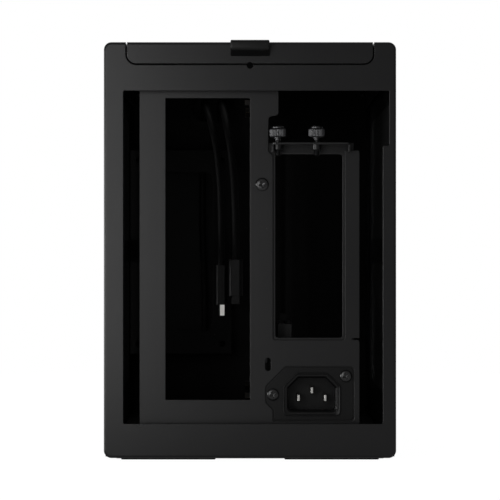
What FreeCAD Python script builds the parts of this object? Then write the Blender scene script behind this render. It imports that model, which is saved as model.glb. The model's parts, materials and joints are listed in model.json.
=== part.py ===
"""Mini-ITX computer case with a two-chamber layout, seen from the rear in its reference picture.

Millimetres, +Z up, origin at the middle of the footprint on the surface that the feet stand on.
The rear of the case faces -Y, the front faces +Y. The motherboard chamber is on the -X side and the
graphics card chamber on the +X side of a spine that can be shifted sideways.
"""
import FreeCAD, Part
import math
import os

V = FreeCAD.Vector

# Overall size of the shell
case_length = 343.0
case_width = 153.0
case_height = 218.5
foot_height = 0.8

# Sheet thicknesses and edges
skin = 2.0
steel = 1.0
base_steel = 1.2
corner_radius = 4.0
edge_radius = 1.4
front_edge_radius = 3.2
seam = 0.8
seat_gap = 0.3

# Rear frame: a shallow tray whose wall is cut out to a ring
rear_depth = 14.0
ring_left = 10.2
ring_right = 7.0
ring_bottom = 17.9
ring_top = 25.4
ring_corner = 0.8
ring_notch_depth = 3.4
ring_notch_height = 28.8

# Top panel, its rear lip and its vents
top_margin = 12.2
lip_height = 11.2
lip_corner = 4.8
lock_hole_radius = 1.7
lock_hole_drop = 0.6
top_vent_length = 96.0
tab_width = 20.4
tab_height = 8.2
tab_reach = 6.5
tab_rise = 0.8
tab_face = 4.8
tab_root = 3.0
tab_brow_radius = 1.2
tab_chin_radius = 2.4
tab_foot = 0.4

# Side panels, their rolled lower edge and their vents
bead_radius = 1.6
vent_width = 4.0
vent_pitch = 10.0
vent_margin = 26.0
side_vent_low = 26.0
side_vent_high = 30.0
side_vent_bridge = 12.0

# Snap studs and the grommets that take them
stud_radius = 1.5
ball_radius = 2.2
grommet_bore = 2.6
grommet_neck = 3.2
grommet_flange = 4.2
grommet_lip = 0.7
stud_spread = 115.0
stud_drop = 14.0
stud_length = 7.4
top_stud_length = 8.0

# Base tray: raised floor, side walls and the ledges that carry the side panels
floor_top = 9.2
wall_inset = 4.3
ledge_reach = 4.0
base_tab_width = 120.0
base_tab_height = 7.8
floor_vent_length = 40.0
floor_vent_count = 9
foot_width = 49.3
foot_length = 11.0
foot_offset = 42.8
foot_setback = 2.0

# Top rails
rail_width = 28.0
rail_stud_margin = 5.6
rail_height = 15.0
rail_drop = 5.5

# Front panel, bulkhead and front sockets
front_depth = 16.0
bulkhead_gap = 1.0
bulkhead_side_gap = 3.0
bulkhead_window_radius = 8.0
port_height = 26.0
usb_c_place = 2.0
usb_c_width = 9.0
usb_c_tall = 3.3
usb_a_places = (22.0, 42.0)
usb_a_width = 13.2
usb_a_tall = 5.8
port_clearance = 0.3
port_wall = 0.4
port_depth = 11.0
button_place = -46.0
button_radius = 6.5
button_rise = 0.5
button_flange = 1.2
button_flange_thick = 1.4
button_travel = 1.2
button_stem_radius = 2.0
switch_side = 6.0
switch_height = 2.2
board_thick = 1.6
io_board_gap = 2.5
io_board_left = -58.0
io_board_right = 56.0
io_board_low = 14.0
io_board_high = 38.0
spacer_radius = 2.6

# Power supply bracket, SFX hole pattern
psu_face_width = 62.2
psu_face_height = 125.0
psu_hole_spread_x = 51.5
psu_hole_spread_z = 113.0
psu_hole_radius = 1.9
psu_window_width = 40.0
psu_window_height = 98.0
psu_side_gap = 0.8
psu_low = 46.0
psu_standoff = 25.5

# Spine and the rear plate that moves with it
plate_recess = 10.0
plate_left = 58.1
plate_right = 57.6
plate_low = 12.0
relief_length = 4.0
relief_height = 1.0
relief_rise = 0.2
foot_corner = 1.2
plate_edge_radius = 0.8
plate_drop = 22.0
spine_x = 3.8
spine_travel = 14.5
spine_drop = 14.5
spine_front_gap = 5.5
spine_flange = 4.2
spine_foot = 13.2
spine_top_flange = 8.0
spine_window_start = 62.0
spine_window_end = 136.0
spine_window_low = 36.0
spine_window_drop = 18.0
spine_window_radius = 6.0
ribbon_window_low = 14.0
ribbon_window_high = 46.0
clamp_spread = 120.0
clamp_screw_radius = 1.5
clamp_head_radius = 3.0
clamp_head_height = 1.8
clamp_offset = 7.0

# Motherboard opening and board mounting, mini-ITX
io_width = 44.45
io_height = 158.75
io_right = 0.0
io_centre_z = 110.2
standoff_height = 6.5
standoff_flats = 5.0
standoff_bore = 1.25
board_hole_y = 154.94
board_hole_z = 157.48
board_hole_setback = 11.7

# Graphics card opening, its bracket and its thumbscrews
slot_pitch = 20.32
gpu_left = 12.0
gpu_right = 50.0
gpu_low = 62.2
gpu_headroom = 4.6
gpu_corner = 1.6
gpu_rim = 1.3
step_x = 9.7
step_height = 18.6
step_gap = 0.2
shoulder_x = 15.0
shoulder_radius = 2.2
bracket_margin = 4.6
shelf_left = 11.5
shelf_right = 52.6
shelf_drop = 52.5
shelf_depth = 9.5
shelf_ear = 5.0
thumb_x = 14.6
thumb_setback = 4.8
thumb_head_radius = 4.35
thumb_head_height = 6.1
thumb_knurl_depth = 0.4
thumb_knurls = 20
thumb_gap = 2.8
thumb_shank_radius = 1.5
thumb_shank_below = 7.0
running_clearance = 0.05
collar_radius = 2.5
collar_height = 2.6

# Lock slot and the screw that holds the spine to the rear plate
lock_slot_x = 9.5
lock_slot_z = 49.5
lock_slot_width = 3.0
lock_slot_height = 7.0
screw_head_radius = 3.2
screw_head_height = 2.2
screw_shank_radius = 1.5
screw_recess_width = 0.9
screw_recess_length = 3.6
screw_recess_depth = 1.0
plate_screw_x = 6.3
plate_screw_z = 144.2

# Power inlet in its stamped recess
inlet_x = 32.6
inlet_z = 33.8
inlet_cavity_width = 24.6
inlet_cavity_height = 17.2
inlet_cavity_chamfer = 5.4
inlet_wall = 1.5
inlet_corner = 2.4
inlet_mouth = 0.9
inlet_proud = 1.0
inlet_cavity_depth = 15.0
inlet_body_depth = 24.0
inlet_flange_sink = 0.2
inlet_flange_gap = 0.1
inlet_fit = 0.15
pin_pitch = 14.0
pin_width = 2.0
pin_tall = 4.0
pin_lift = 2.0
pin_setback = 2.5
pin_tail = 3.0
pin_taper = 0.45
recess_left = 8.0
recess_right = 54.9
recess_high = 48.6
recess_low = 19.5
recess_depth = 1.5
recess_slope = 0.6
recess_corner = 2.0
recess_inner_corner = 1.0
inlet_screws_at = ((12.0, 33.7), (50.4, 43.4))

# Riser: board, slot connector, ribbon and plug
riser_x = 18.5
riser_setback = 22.5
riser_length = 96.0
riser_board_left = 9.0
riser_board_width = 20.0
riser_board_top = 59.0
riser_leg = 11.0
riser_socket_width = 7.5
riser_socket_length = 89.0
riser_socket_height = 11.2
riser_groove_width = 1.8
riser_groove_depth = 8.0
riser_key_place = 11.65
ribbon_thick = 1.0
ribbon_width = 78.0
ribbon_x = 23.0
ribbon_low = 21.0
ribbon_bend = 8.0
ribbon_end_x = -1.0
riser_plug_height = 10.0
riser_plug_thick = 6.0
riser_card_reach = 4.0

# Power lead from the inlet to its plug, and its clips
lead_radius = 3.6
lead_clip_wall = 1.4
lead_clip_length = 8.0
lead_clip_pitch = 60.0
lead_start_run = 16.0
lead_drop_run = 28.0
lead_cross_run = 48.0
lead_join_run = 36.0
lead_bow = 3.0
lead_end_gap = 55.0
lead_plug_length = 34.0
lead_plug_width = 18.0
lead_plug_height = 16.0

# Front socket cables that hang in the power supply bay; their points give Y from the bulkhead
cable_hole_width = 26.0
cable_hole_height = 18.0
cable_hole_x = -24.0
cable_hole_drop = 21.5
cable_grommet_wall = 1.5
usb_c_cable_radius = 2.0
usb_a_cable_radius = 2.2
usb_c_plug_size = (6.4, 9.0, 24.0, 6.5)
plug_tip_share = (0.56, 0.72)
usb_a_plug_size = (8.4, 19.0, 22.0, 5.0)
usb_c_drape = ((-28.0, 4.3, 38.0), (-28.0, 4.3, 80.0), (-30.0, 5.6, 124.0), (-29.2, 6.0, 168.0),
               (-29.0, 6.2, 200.0), (-28.0, -21.5, 200.0), (-24.5, -40.0, 190.0), (-19.5, -49.0, 168.0),
               (-17.3, -51.5, 136.0), (-17.3, -51.5, 100.5))
usb_a_drape = ((-12.0, 4.3, 38.0), (-12.0, 4.3, 82.0), (-14.0, 5.6, 127.0), (-18.0, 5.8, 169.0),
               (-18.5, 6.0, 200.0), (-17.5, -24.5, 200.2), (-14.8, -46.0, 189.0), (-10.6, -55.5, 165.0),
               (-8.6, -59.0, 134.0), (-8.6, -59.0, 104.0))

# Places worked out from the sizes above
y_front = (case_length + tab_reach - button_rise) / 2
y_rear = y_front - case_length
x_side = case_width / 2
z_bottom = foot_height
z_top = case_height
ring_plane = y_rear + skin
side_start = y_rear + rear_depth + seam
side_end = y_front - front_depth - seam
lip_low = z_top - lip_height
lock_hole_z = lip_low - seam / 2 - lock_hole_drop
top_width = case_width - 2 * top_margin
plate_high = z_top - plate_drop
spine_high = z_top - spine_drop
spine_window_high = spine_high - spine_window_drop
shelf_top = z_top - shelf_drop
gpu_high = shelf_top - gpu_headroom
step_low = gpu_high + step_gap
step_high = step_low + step_height
cable_hole_z = z_top - cable_hole_drop
ledge_top = z_bottom + base_steel
bead_x = x_side - bead_radius
bead_z = ledge_top + seat_gap + bead_radius
wall_x = x_side - wall_inset
floor_low = floor_top - base_steel
bulkhead_rear = y_front - front_depth - bulkhead_gap - steel
bulkhead_front = bulkhead_rear + steel
rail_top = z_top - rail_drop
rail_low = rail_top - rail_height
rail_x = wall_x
plate_y = y_rear + plate_recess
plate_back = plate_y + steel
spine_right = spine_x + steel
spine_low = floor_top + seat_gap
riser_start = plate_back + riser_setback
spine_front = bulkhead_rear - spine_front_gap
psu_right = -(x_side - skin - psu_side_gap - psu_face_width)
psu_x = psu_right - psu_face_width / 2
psu_z = psu_low + psu_face_height / 2
psu_web_back = bulkhead_rear - psu_standoff
io_board_rear = bulkhead_front + io_board_gap
io_board_front = io_board_rear + board_thick
stud_z = z_top - stud_drop
usb_c_route = [(x, bulkhead_rear + y, z) for x, y, z in usb_c_drape]
usb_a_route = [(x, bulkhead_rear + y, z) for x, y, z in usb_a_drape]


def block(x0, x1, y0, y1, z0, z1):
    return Part.makeBox(x1 - x0, y1 - y0, z1 - z0, V(x0, y0, z0))


def rod(start, direction, radius, length):
    return Part.makeCylinder(radius, length, V(*start), V(*direction))


def place(plane, u, v, w):
    """Point at (u, v) of a plane that lies at distance w along its normal."""
    return {"XZ": V(u, w, v), "YZ": V(w, u, v), "XY": V(u, v, w)}[plane]


def outline(plane, corners, w):
    """Closed wire through corners (u, v) or (u, v, radius), with each corner rounded to its radius."""
    ends = []
    for i, corner in enumerate(corners):
        here = V(corner[0], corner[1], 0)
        before = V(*corners[i - 1][:2], 0)
        after = V(*corners[(i + 1) % len(corners)][:2], 0)
        radius = corner[2] if len(corner) > 2 else 0.0
        to_before = (before - here).normalize()
        to_after = (after - here).normalize()
        half = to_before.getAngle(to_after) / 2
        if radius <= 0:
            ends.append((here, None, here))
            continue
        cut = radius / math.tan(half)
        middle = here + (to_before + to_after).normalize() * (radius / math.sin(half) - radius)
        ends.append((here + to_before * cut, middle, here + to_after * cut))
    edges = []
    for i, (enter, middle, leave) in enumerate(ends):
        if middle is not None:
            points = [place(plane, p.x, p.y, w) for p in (enter, middle, leave)]
            edges.append(Part.Arc(*points).toShape())
        following = ends[(i + 1) % len(ends)][0]
        if (following - leave).Length > 1e-6:
            line_start = place(plane, leave.x, leave.y, w)
            line_end = place(plane, following.x, following.y, w)
            edges.append(Part.LineSegment(line_start, line_end).toShape())
    return Part.Wire(Part.__sortEdges__(edges))


def plate(plane, corners, start, thickness):
    """Solid of the outlined shape, from start along the plane's normal."""
    normal = {"XZ": V(0, 1, 0), "YZ": V(1, 0, 0), "XY": V(0, 0, 1)}[plane]
    return Part.Face(outline(plane, corners, start)).extrude(normal * thickness)


def rectangle(u0, u1, v0, v1, radius=0.0):
    return [(u0, v0, radius), (u1, v0, radius), (u1, v1, radius), (u0, v1, radius)]


def pill(plane, u, v, length_u, length_v, start, thickness):
    """Slot with round ends, centred at (u, v)."""
    radius = min(length_u, length_v) / 2 * 0.999
    corners = rectangle(u - length_u / 2, u + length_u / 2, v - length_v / 2, v + length_v / 2, radius)
    return plate(plane, corners, start, thickness)


def vent(plane, u, v, length_u, length_v, start, thickness):
    """Long vent slot; each round end has four facets, because the vents are many."""
    radius = min(length_u, length_v) / 2
    reach_u = length_u / 2 - radius
    reach_v = length_v / 2 - radius
    corners = []
    for i in range(16):
        turn = math.radians(22.5 * i + 11.25)
        du, dv = math.cos(turn), math.sin(turn)
        corners.append((u + math.copysign(reach_u, du) + radius * du,
                        v + math.copysign(reach_v, dv) + radius * dv))
    return plate(plane, corners, start, thickness)


def fuse(shapes):
    joined = shapes[0].multiFuse(shapes[1:]) if len(shapes) > 1 else shapes[0]
    return joined.removeSplitter()


def mirrored(shape):
    return shape.mirror(V(0, 0, 0), V(1, 0, 0))


def vent_places():
    """Evenly spaced vent centres along the length of the side panels."""
    room = side_end - side_start - 2 * vent_margin
    count = int(room / vent_pitch) + 1
    middle = (side_start + side_end) / 2
    return [middle + (i - (count - 1) / 2) * vent_pitch for i in range(count)]


def shell_outline(inset):
    return rectangle(-x_side + inset, x_side - inset, z_bottom + inset, z_top - inset, corner_radius - inset)


def tray(open_end, closed_end, round_edge):
    """Shallow tray with the shell's outline: a wall at closed_end and a rim that reaches to open_end."""
    depth = open_end - closed_end
    inward = math.copysign(1, depth)
    outer = plate("XZ", shell_outline(0), closed_end, depth)
    rim = [e for e in outer.Edges if all(abs(v.Y - closed_end) < 1e-6 for v in e.Vertexes)]
    outer = outer.makeFillet(round_edge, rim)
    return outer.cut(plate("XZ", shell_outline(skin), closed_end + inward * skin, depth))


# Outer shell

def rear_frame():
    ring = tray(y_rear + rear_depth, y_rear, edge_radius)
    low = z_bottom + ring_bottom
    high = z_top - ring_top
    right = x_side - ring_right
    notch = right + ring_notch_depth
    opening = [(-x_side + ring_left, low, ring_corner), (right, low, ring_corner),
               (right, high - ring_notch_height, ring_corner), (notch, high - ring_notch_height, ring_corner),
               (notch, high, ring_corner), (-x_side + ring_left, high, ring_corner)]
    lid_half = top_width / 2 + seam
    lid_bed = [(-lid_half, lip_low - seam, lip_corner + seam), (lid_half, lip_low - seam, lip_corner + seam),
               (lid_half, z_top + skin), (-lid_half, z_top + skin)]
    ring = ring.cut(plate("XZ", opening, y_rear - skin, 3 * skin))
    ring = ring.cut(plate("XZ", lid_bed, y_rear - skin, rear_depth + 2 * skin))
    return ring.cut(rod((0, y_rear - skin, lock_hole_z), (0, 1, 0), lock_hole_radius, 3 * skin))


def front_panel():
    panel = tray(y_front - front_depth, y_front, front_edge_radius)
    through = y_front - 2 * skin
    reach = 3 * skin
    cuts = [rod((button_place, through, port_height), (0, 1, 0), button_radius + port_clearance, reach)]
    cuts.append(pill("XZ", usb_c_place, port_height, usb_c_width + 2 * port_clearance,
                     usb_c_tall + 2 * port_clearance, through, reach))
    for x in usb_a_places:
        half_u = usb_a_width / 2 + port_clearance
        half_v = usb_a_tall / 2 + port_clearance
        cuts.append(block(x - half_u, x + half_u, through, through + reach,
                          port_height - half_v, port_height + half_v))
    for tool in cuts:
        panel = panel.cut(tool)
    return panel


def side_panel():
    """Right-hand panel: over the top corner, down the side, and rolled into a bead at the lower edge."""
    inner = corner_radius - skin
    start_x = top_width / 2 + seam
    profile = [(start_x, z_top), (x_side, z_top, corner_radius), (x_side, bead_z), (x_side - skin, bead_z),
               (x_side - skin, z_top - skin, inner), (start_x, z_top - skin)]
    panel = plate("XZ", profile, side_start, side_end - side_start)
    bead = rod((bead_x, side_start, bead_z), (0, 1, 0), bead_radius, side_end - side_start)
    panel = fuse([panel, bead])
    low = bead_z + side_vent_low
    high = z_top - side_vent_high
    length = (high - low - side_vent_bridge) / 2
    tools = []
    for y in vent_places():
        for z in (low + length / 2, high - length / 2):
            tools.append(vent("YZ", y, z, vent_width, length, x_side - 2 * skin, 3 * skin))
    return panel.cut(Part.makeCompound(tools))


def top_panel():
    half = top_width / 2
    sheet = block(-half, half, y_rear, side_end, z_top - skin, z_top)
    lip_corners = [(-half, lip_low, lip_corner), (half, lip_low, lip_corner), (half, z_top), (-half, z_top)]
    lid = fuse([sheet, plate("XZ", lip_corners, y_rear, skin)])
    ridge = [e for e in lid.Edges
             if all(abs(v.Y - y_rear) + abs(v.Z - z_top) < 1e-6 for v in e.Vertexes)]
    lid = lid.makeFillet(edge_radius, ridge)
    lid = lid.cut(rod((0, y_rear - skin, lock_hole_z), (0, 1, 0), lock_hole_radius, 3 * skin))
    tools = [vent("XY", 0, y, top_vent_length, vent_width, z_top - 2 * skin, 3 * skin) for y in vent_places()]
    return lid.cut(Part.makeCompound(tools))


def pull_tab():
    """Moulded finger tab on the rear lip: a rounded nose whose underside runs back to the lip."""
    nose = y_rear - tab_reach
    high = z_top + tab_rise
    low = high - tab_height
    corners = [(y_rear, low), (y_rear, high - tab_rise - edge_radius), (y_rear + edge_radius, z_top),
               (y_rear + tab_root, z_top), (y_rear + tab_root - tab_rise, high),
               (nose, high, tab_brow_radius), (nose, high - tab_face, tab_chin_radius),
               (y_rear - tab_foot, low)]
    return plate("YZ", corners, -tab_width / 2, tab_width).cut(top_panel())


def stud(base, direction, length):
    """Snap stud: a shank that swells to a double-coned head."""
    axis = V(*direction)
    waist = V(*base) + axis * (length - 2 * ball_radius)
    widest = waist + axis * ball_radius
    shank = rod(base, direction, stud_radius, length - 2 * ball_radius)
    back = Part.makeCone(stud_radius, ball_radius, ball_radius, waist, axis)
    front = Part.makeCone(ball_radius, stud_radius / 2, ball_radius, widest, axis)
    return fuse([shank, back, front])


def side_studs():
    return Part.makeCompound([stud((x_side - skin, y, stud_z), (-1, 0, 0), stud_length)
                              for y in (-stud_spread, stud_spread)])


def top_stud_x():
    return rail_x - rail_width + rail_stud_margin


def top_panel_studs():
    return Part.makeCompound([stud((x, y, z_top - skin), (0, 0, -1), top_stud_length)
                              for x in (-top_stud_x(), top_stud_x()) for y in (-stud_spread, stud_spread)])


def grommet(centre, direction):
    """Plastic ring in a sheet hole: a neck in the sheet and a flange on its inner face."""
    axis = V(*direction)
    start = V(*centre) - axis * (steel / 2 + grommet_lip)
    flange = Part.makeCylinder(grommet_flange, grommet_lip, start, axis)
    neck = Part.makeCylinder(grommet_neck, steel + grommet_lip, start, axis)
    return fuse([flange, neck]).cut(Part.makeCylinder(grommet_bore, steel + grommet_lip, start, axis))


def grommet_places():
    """Centre and axis of each snap grommet in the two top rails."""
    found = []
    for side in (-1, 1):
        for y in (-stud_spread, stud_spread):
            found.append(((side * (rail_x - steel / 2), y, stud_z), (side, 0, 0)))
            found.append(((side * top_stud_x(), y, rail_top - steel / 2), (0, 0, 1)))
    return found


def snap_grommets():
    return Part.makeCompound([grommet(centre, direction) for centre, direction in grommet_places()])


def top_rail():
    """Right-hand rail: an angle under the seam of top panel and side panel."""
    start = ring_plane + seat_gap
    flange = block(rail_x - rail_width, rail_x, start, bulkhead_rear, rail_top - steel, rail_top)
    web = block(rail_x - steel, rail_x, start, bulkhead_rear, rail_low, rail_top)
    rail = fuse([flange, web])
    for centre, direction in grommet_places():
        if centre[0] > 0:
            axis = V(*direction)
            rail = rail.cut(Part.makeCylinder(grommet_neck, 2 * steel, V(*centre) - axis * steel, axis))
    return rail


# Base and feet

def base_tray():
    start = ring_plane
    end = y_front - skin
    walls_start = y_rear + rear_depth + seat_gap
    walls_end = y_front - front_depth - seat_gap
    pieces = [block(-wall_x, wall_x, start, end, floor_low, floor_top)]
    for side in (-1, 1):
        wall = block(wall_x - base_steel, wall_x, walls_start, walls_end, z_bottom, floor_top)
        ledge = block(wall_x - base_steel, wall_x + ledge_reach, walls_start, walls_end, z_bottom, ledge_top)
        pieces += [wall, ledge] if side > 0 else [mirrored(wall), mirrored(ledge)]
    half_tab = base_tab_width / 2
    pieces.append(block(-half_tab, half_tab, start, start + base_steel,
                        floor_low, floor_top + base_tab_height))
    tray_solid = fuse(pieces)
    tools = []
    for y in (-clamp_spread, clamp_spread):
        slot_width = 2 * (clamp_screw_radius + seat_gap)
        tools.append(pill("XY", spine_right + clamp_offset, y, slot_width + 2 * spine_travel, slot_width,
                          floor_low - steel, 4 * base_steel))
    for side in (-1, 1):
        for i in range(floor_vent_count):
            y = (i - (floor_vent_count - 1) / 2) * 2 * vent_pitch
            tools.append(vent("XY", side * x_side / 2, y, floor_vent_length, vent_width,
                              floor_low - steel, 4 * base_steel))
    return tray_solid.cut(Part.makeCompound(tools))


def foot(side, end):
    """Flat rubber pad; side is -1 or 1 in X, end is -1 at the rear and 1 at the front."""
    middle = side * foot_offset
    edge = (y_front if end > 0 else y_rear) - end * foot_setback
    near, far = sorted((edge, edge - end * foot_length))
    pad = plate("XY", rectangle(middle - foot_width / 2, middle + foot_width / 2, near, far, 2 * foot_height),
                0, foot_height)
    return pad


# Front bulkhead, power supply bracket and front sockets

def front_bulkhead():
    side = wall_x
    wall = plate("XZ", rectangle(-side, side, floor_top, rail_top), bulkhead_rear, steel)
    margin = bulkhead_side_gap * 2
    low = psu_low + margin
    high = cable_hole_z - cable_hole_height
    windows = [rectangle(psu_x - psu_face_width / 2 + margin, psu_x + psu_face_width / 2 - margin,
                         low, psu_low + psu_face_height - margin, bulkhead_window_radius),
               rectangle(spine_right + spine_travel, side - 2 * margin, low, high, bulkhead_window_radius)]
    for corners in windows:
        wall = wall.cut(plate("XZ", corners, bulkhead_rear - steel, 3 * steel))
    hole = pill("XZ", cable_hole_x, cable_hole_z, cable_hole_width, cable_hole_height,
                bulkhead_rear - steel, 3 * steel)
    return wall.cut(hole)


def cable_grommet():
    """Rubber edge round the cable hole in the bulkhead."""
    rim = cable_grommet_wall
    outer = pill("XZ", cable_hole_x, cable_hole_z, cable_hole_width + 2 * rim, cable_hole_height + 2 * rim,
                 bulkhead_rear - rim, steel + 2 * rim)
    groove = pill("XZ", cable_hole_x, cable_hole_z, cable_hole_width + 4 * rim, cable_hole_height + 4 * rim,
                  bulkhead_rear, steel)
    core = pill("XZ", cable_hole_x, cable_hole_z, cable_hole_width, cable_hole_height, bulkhead_rear, steel)
    bore = pill("XZ", cable_hole_x, cable_hole_z, cable_hole_width - 2 * rim, cable_hole_height - 2 * rim,
                bulkhead_rear - 2 * rim, steel + 4 * rim)
    return outer.cut(groove.cut(core)).cut(bore)


def psu_bracket():
    """Channel that carries the power supply by its rear face."""
    left = psu_x - psu_face_width / 2
    right = psu_x + psu_face_width / 2
    high = psu_low + psu_face_height
    web = block(left, right, psu_web_back - steel, psu_web_back, psu_low, high)
    flanges = [block(left, right, psu_web_back - steel, bulkhead_rear, z, z + steel)
               for z in (psu_low, high - steel)]
    bracket = fuse([web] + flanges)
    window = rectangle(psu_x - psu_window_width / 2, psu_x + psu_window_width / 2,
                       psu_z - psu_window_height / 2, psu_z + psu_window_height / 2, spine_window_radius)
    bracket = bracket.cut(plate("XZ", window, psu_web_back - 2 * steel, 3 * steel))
    for dx in (-psu_hole_spread_x / 2, psu_hole_spread_x / 2):
        for dz in (-psu_hole_spread_z / 2, psu_hole_spread_z / 2):
            start = (psu_x + dx, psu_web_back - 2 * steel, psu_z + dz)
            bracket = bracket.cut(rod(start, (0, 1, 0), psu_hole_radius, 3 * steel))
    return bracket


def io_board():
    return block(io_board_left, io_board_right, io_board_rear, io_board_front, io_board_low, io_board_high)


def io_board_spacers():
    z = (io_board_low + io_board_high) / 2
    length = io_board_rear - bulkhead_front
    places = (io_board_left + 2 * spacer_radius, (usb_c_place + button_place) / 2,
              io_board_right - 2 * spacer_radius)
    return Part.makeCompound([rod((x, bulkhead_front, z), (0, 1, 0), spacer_radius, length) for x in places])


def port_shell(shape, hollow, tongue):
    return fuse([shape.cut(hollow), tongue])


def usb_c_port():
    front = y_front - port_clearance
    outer = pill("XZ", usb_c_place, port_height, usb_c_width, usb_c_tall,
                 io_board_front, front - io_board_front)
    hollow = pill("XZ", usb_c_place, port_height, usb_c_width - 2 * port_wall, usb_c_tall - 2 * port_wall,
                  front - port_depth + 2 * port_wall, port_depth)
    half = usb_c_width / 2 - 3 * port_wall
    tongue = block(usb_c_place - half, usb_c_place + half, front - port_depth, front - 2 * port_wall,
                   port_height - port_wall, port_height + port_wall)
    return port_shell(outer, hollow, tongue)


def usb_a_ports():
    front = y_front - port_clearance
    ports = []
    for x in usb_a_places:
        half_u = usb_a_width / 2
        half_v = usb_a_tall / 2
        outer = block(x - half_u, x + half_u, io_board_front, front,
                      port_height - half_v, port_height + half_v)
        hollow = block(x - half_u + port_wall, x + half_u - port_wall,
                       front - port_depth + 2 * port_wall, front + 1,
                       port_height - half_v + port_wall, port_height + half_v - port_wall)
        tongue = block(x - half_u + 3 * port_wall, x + half_u - 3 * port_wall, front - port_depth,
                       front - 2 * port_wall, port_height, port_height + half_v - 2 * port_wall)
        ports.append(port_shell(outer, hollow, tongue))
    return Part.makeCompound(ports)


def power_switch():
    half = switch_side / 2
    return block(button_place - half, button_place + half, io_board_front, io_board_front + switch_height,
                 port_height - half, port_height + half)


def power_button():
    wall = y_front - skin
    flange_start = wall - seat_gap - button_flange_thick
    stem_start = io_board_front + switch_height + button_travel + running_clearance

    def step(start, radius, length):
        return rod((button_place, start, port_height), (0, 1, 0), radius, length)

    cap = step(wall - seat_gap, button_radius, skin + seat_gap)
    crown = Part.makeCone(button_radius, button_radius - button_rise, button_rise,
                          V(button_place, y_front, port_height), V(0, 1, 0))
    flange = step(flange_start, button_radius + button_flange, button_flange_thick)
    return fuse([cap, crown, flange, step(stem_start, button_stem_radius, flange_start - stem_start)])


# Spine assembly

def inlet_outline(width, height, chamfer):
    """Inlet profile: a rectangle whose two upper corners are cut at 45 degrees."""
    left, right = inlet_x - width / 2, inlet_x + width / 2
    low, high = inlet_z - height / 2, inlet_z + height / 2
    return [(left, low, inlet_corner), (right, low, inlet_corner), (right, high - chamfer),
            (right - chamfer, high), (left + chamfer, high), (left, high - chamfer)]


def collar_outline(grow):
    width = inlet_cavity_width + 2 * (inlet_wall + grow)
    height = inlet_cavity_height + 2 * (inlet_wall + grow)
    return inlet_outline(width, height, inlet_cavity_chamfer + inlet_wall / 2)


def recess_outline(grow):
    """Stamped field round the inlet, with its upper left corner cut off and an ear for the left screw."""
    ear_x, ear_z = inlet_screws_at[0]
    ear_half = screw_head_radius + 2 * recess_slope
    ear_inner = recess_left + screw_head_radius + recess_slope
    high = recess_high + grow
    low = recess_low - grow
    left = recess_left - grow
    right = recess_right + grow
    cut = ear_inner - recess_left
    bevel = high - ear_z - ear_half
    outer, inner = recess_corner, recess_inner_corner
    return [(left + cut, low, inner), (right, low, outer), (right, high, outer), (left + bevel, high, outer),
            (left, ear_z + ear_half, outer), (left, ear_z - ear_half, outer),
            (left + cut, ear_z - ear_half - cut, inner)]


def rear_plate():
    """Rear wall of the spine assembly, with the motherboard opening, card opening and inlet recess."""
    column_top = gpu_high + gpu_rim / 2
    relief_low = gpu_low + relief_rise
    relief_high = relief_low + relief_height
    relief_end = plate_right - relief_length
    corners = [(-plate_left, plate_low), (plate_right, plate_low), (plate_right, relief_low, foot_corner),
               (relief_end, relief_low), (relief_end, relief_high), (plate_right, relief_high),
               (plate_right, column_top, plate_edge_radius), (gpu_right, column_top, plate_edge_radius / 2),
               (gpu_right, gpu_low, gpu_corner), (gpu_left, gpu_low, gpu_corner),
               (gpu_left, step_low - (gpu_left - step_x), plate_edge_radius),
               (step_x, step_low, plate_edge_radius),
               (step_x, step_high, shoulder_radius), (shoulder_x, step_high, shoulder_radius),
               (shoulder_x, plate_high), (-plate_left, plate_high)]
    wall = plate("XZ", corners, plate_y, steel)
    pad = plate("XZ", recess_outline(steel), plate_back, recess_depth)
    dish = Part.makeLoft([outline("XZ", recess_outline(0), plate_y),
                          outline("XZ", recess_outline(-recess_slope), plate_y + recess_depth)], True, True)
    wall = fuse([wall, pad]).cut(dish)
    io_opening = block(io_right - io_width, io_right, plate_y - steel, plate_y + 3 * steel,
                       io_centre_z - io_height / 2, io_centre_z + io_height / 2)
    depth = 4 * steel + recess_depth
    tools = [io_opening, plate("XZ", collar_outline(inlet_fit), plate_y - steel, depth)]
    tools.append(pill("XZ", lock_slot_x, lock_slot_z, lock_slot_width, lock_slot_height,
                      plate_y - steel, depth))
    tools.append(rod((plate_screw_x, plate_y - steel, plate_screw_z), (0, 1, 0),
                     screw_shank_radius + running_clearance, depth))
    for x, z in inlet_screws_at:
        tools.append(rod((x, plate_y - steel, z), (0, 1, 0), screw_shank_radius + running_clearance, depth))
    for tool in tools:
        wall = wall.cut(tool)
    return wall


def spine_plate():
    """Divider between the two chambers, folded along its rear, lower and upper edges."""
    web = block(spine_x, spine_right, plate_back, spine_front, spine_low, spine_high)
    flange_low = recess_high + 3 * recess_slope
    rear = block(spine_x, spine_right + spine_flange, plate_back, plate_back + steel, flange_low, plate_high)
    foot_flange = block(spine_x, spine_right + spine_foot, plate_back + inlet_body_depth, spine_front,
                        spine_low, spine_low + steel)
    top_flange = block(spine_x, spine_right + spine_top_flange, plate_back + 2 * steel, spine_front,
                       spine_high - steel, spine_high)
    spine = fuse([web, rear, foot_flange, top_flange])
    ribbon_window = rectangle(riser_start + steel, riser_start + riser_length,
                              ribbon_window_low, ribbon_window_high, 2 * steel)
    bay_window = rectangle(spine_window_start, spine_window_end, spine_window_low, spine_window_high,
                           spine_window_radius)
    for corners in (ribbon_window, bay_window):
        spine = spine.cut(plate("YZ", corners, spine_x - steel, 3 * steel))
    spine = spine.cut(rod((plate_screw_x, plate_back - steel, plate_screw_z), (0, 1, 0),
                          screw_shank_radius + running_clearance, 4 * steel))
    for y in (-clamp_spread, clamp_spread):
        spine = spine.cut(rod((spine_right + clamp_offset, y, spine_low - steel), (0, 0, 1),
                              clamp_screw_radius + running_clearance, 4 * steel))
    return spine


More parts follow.
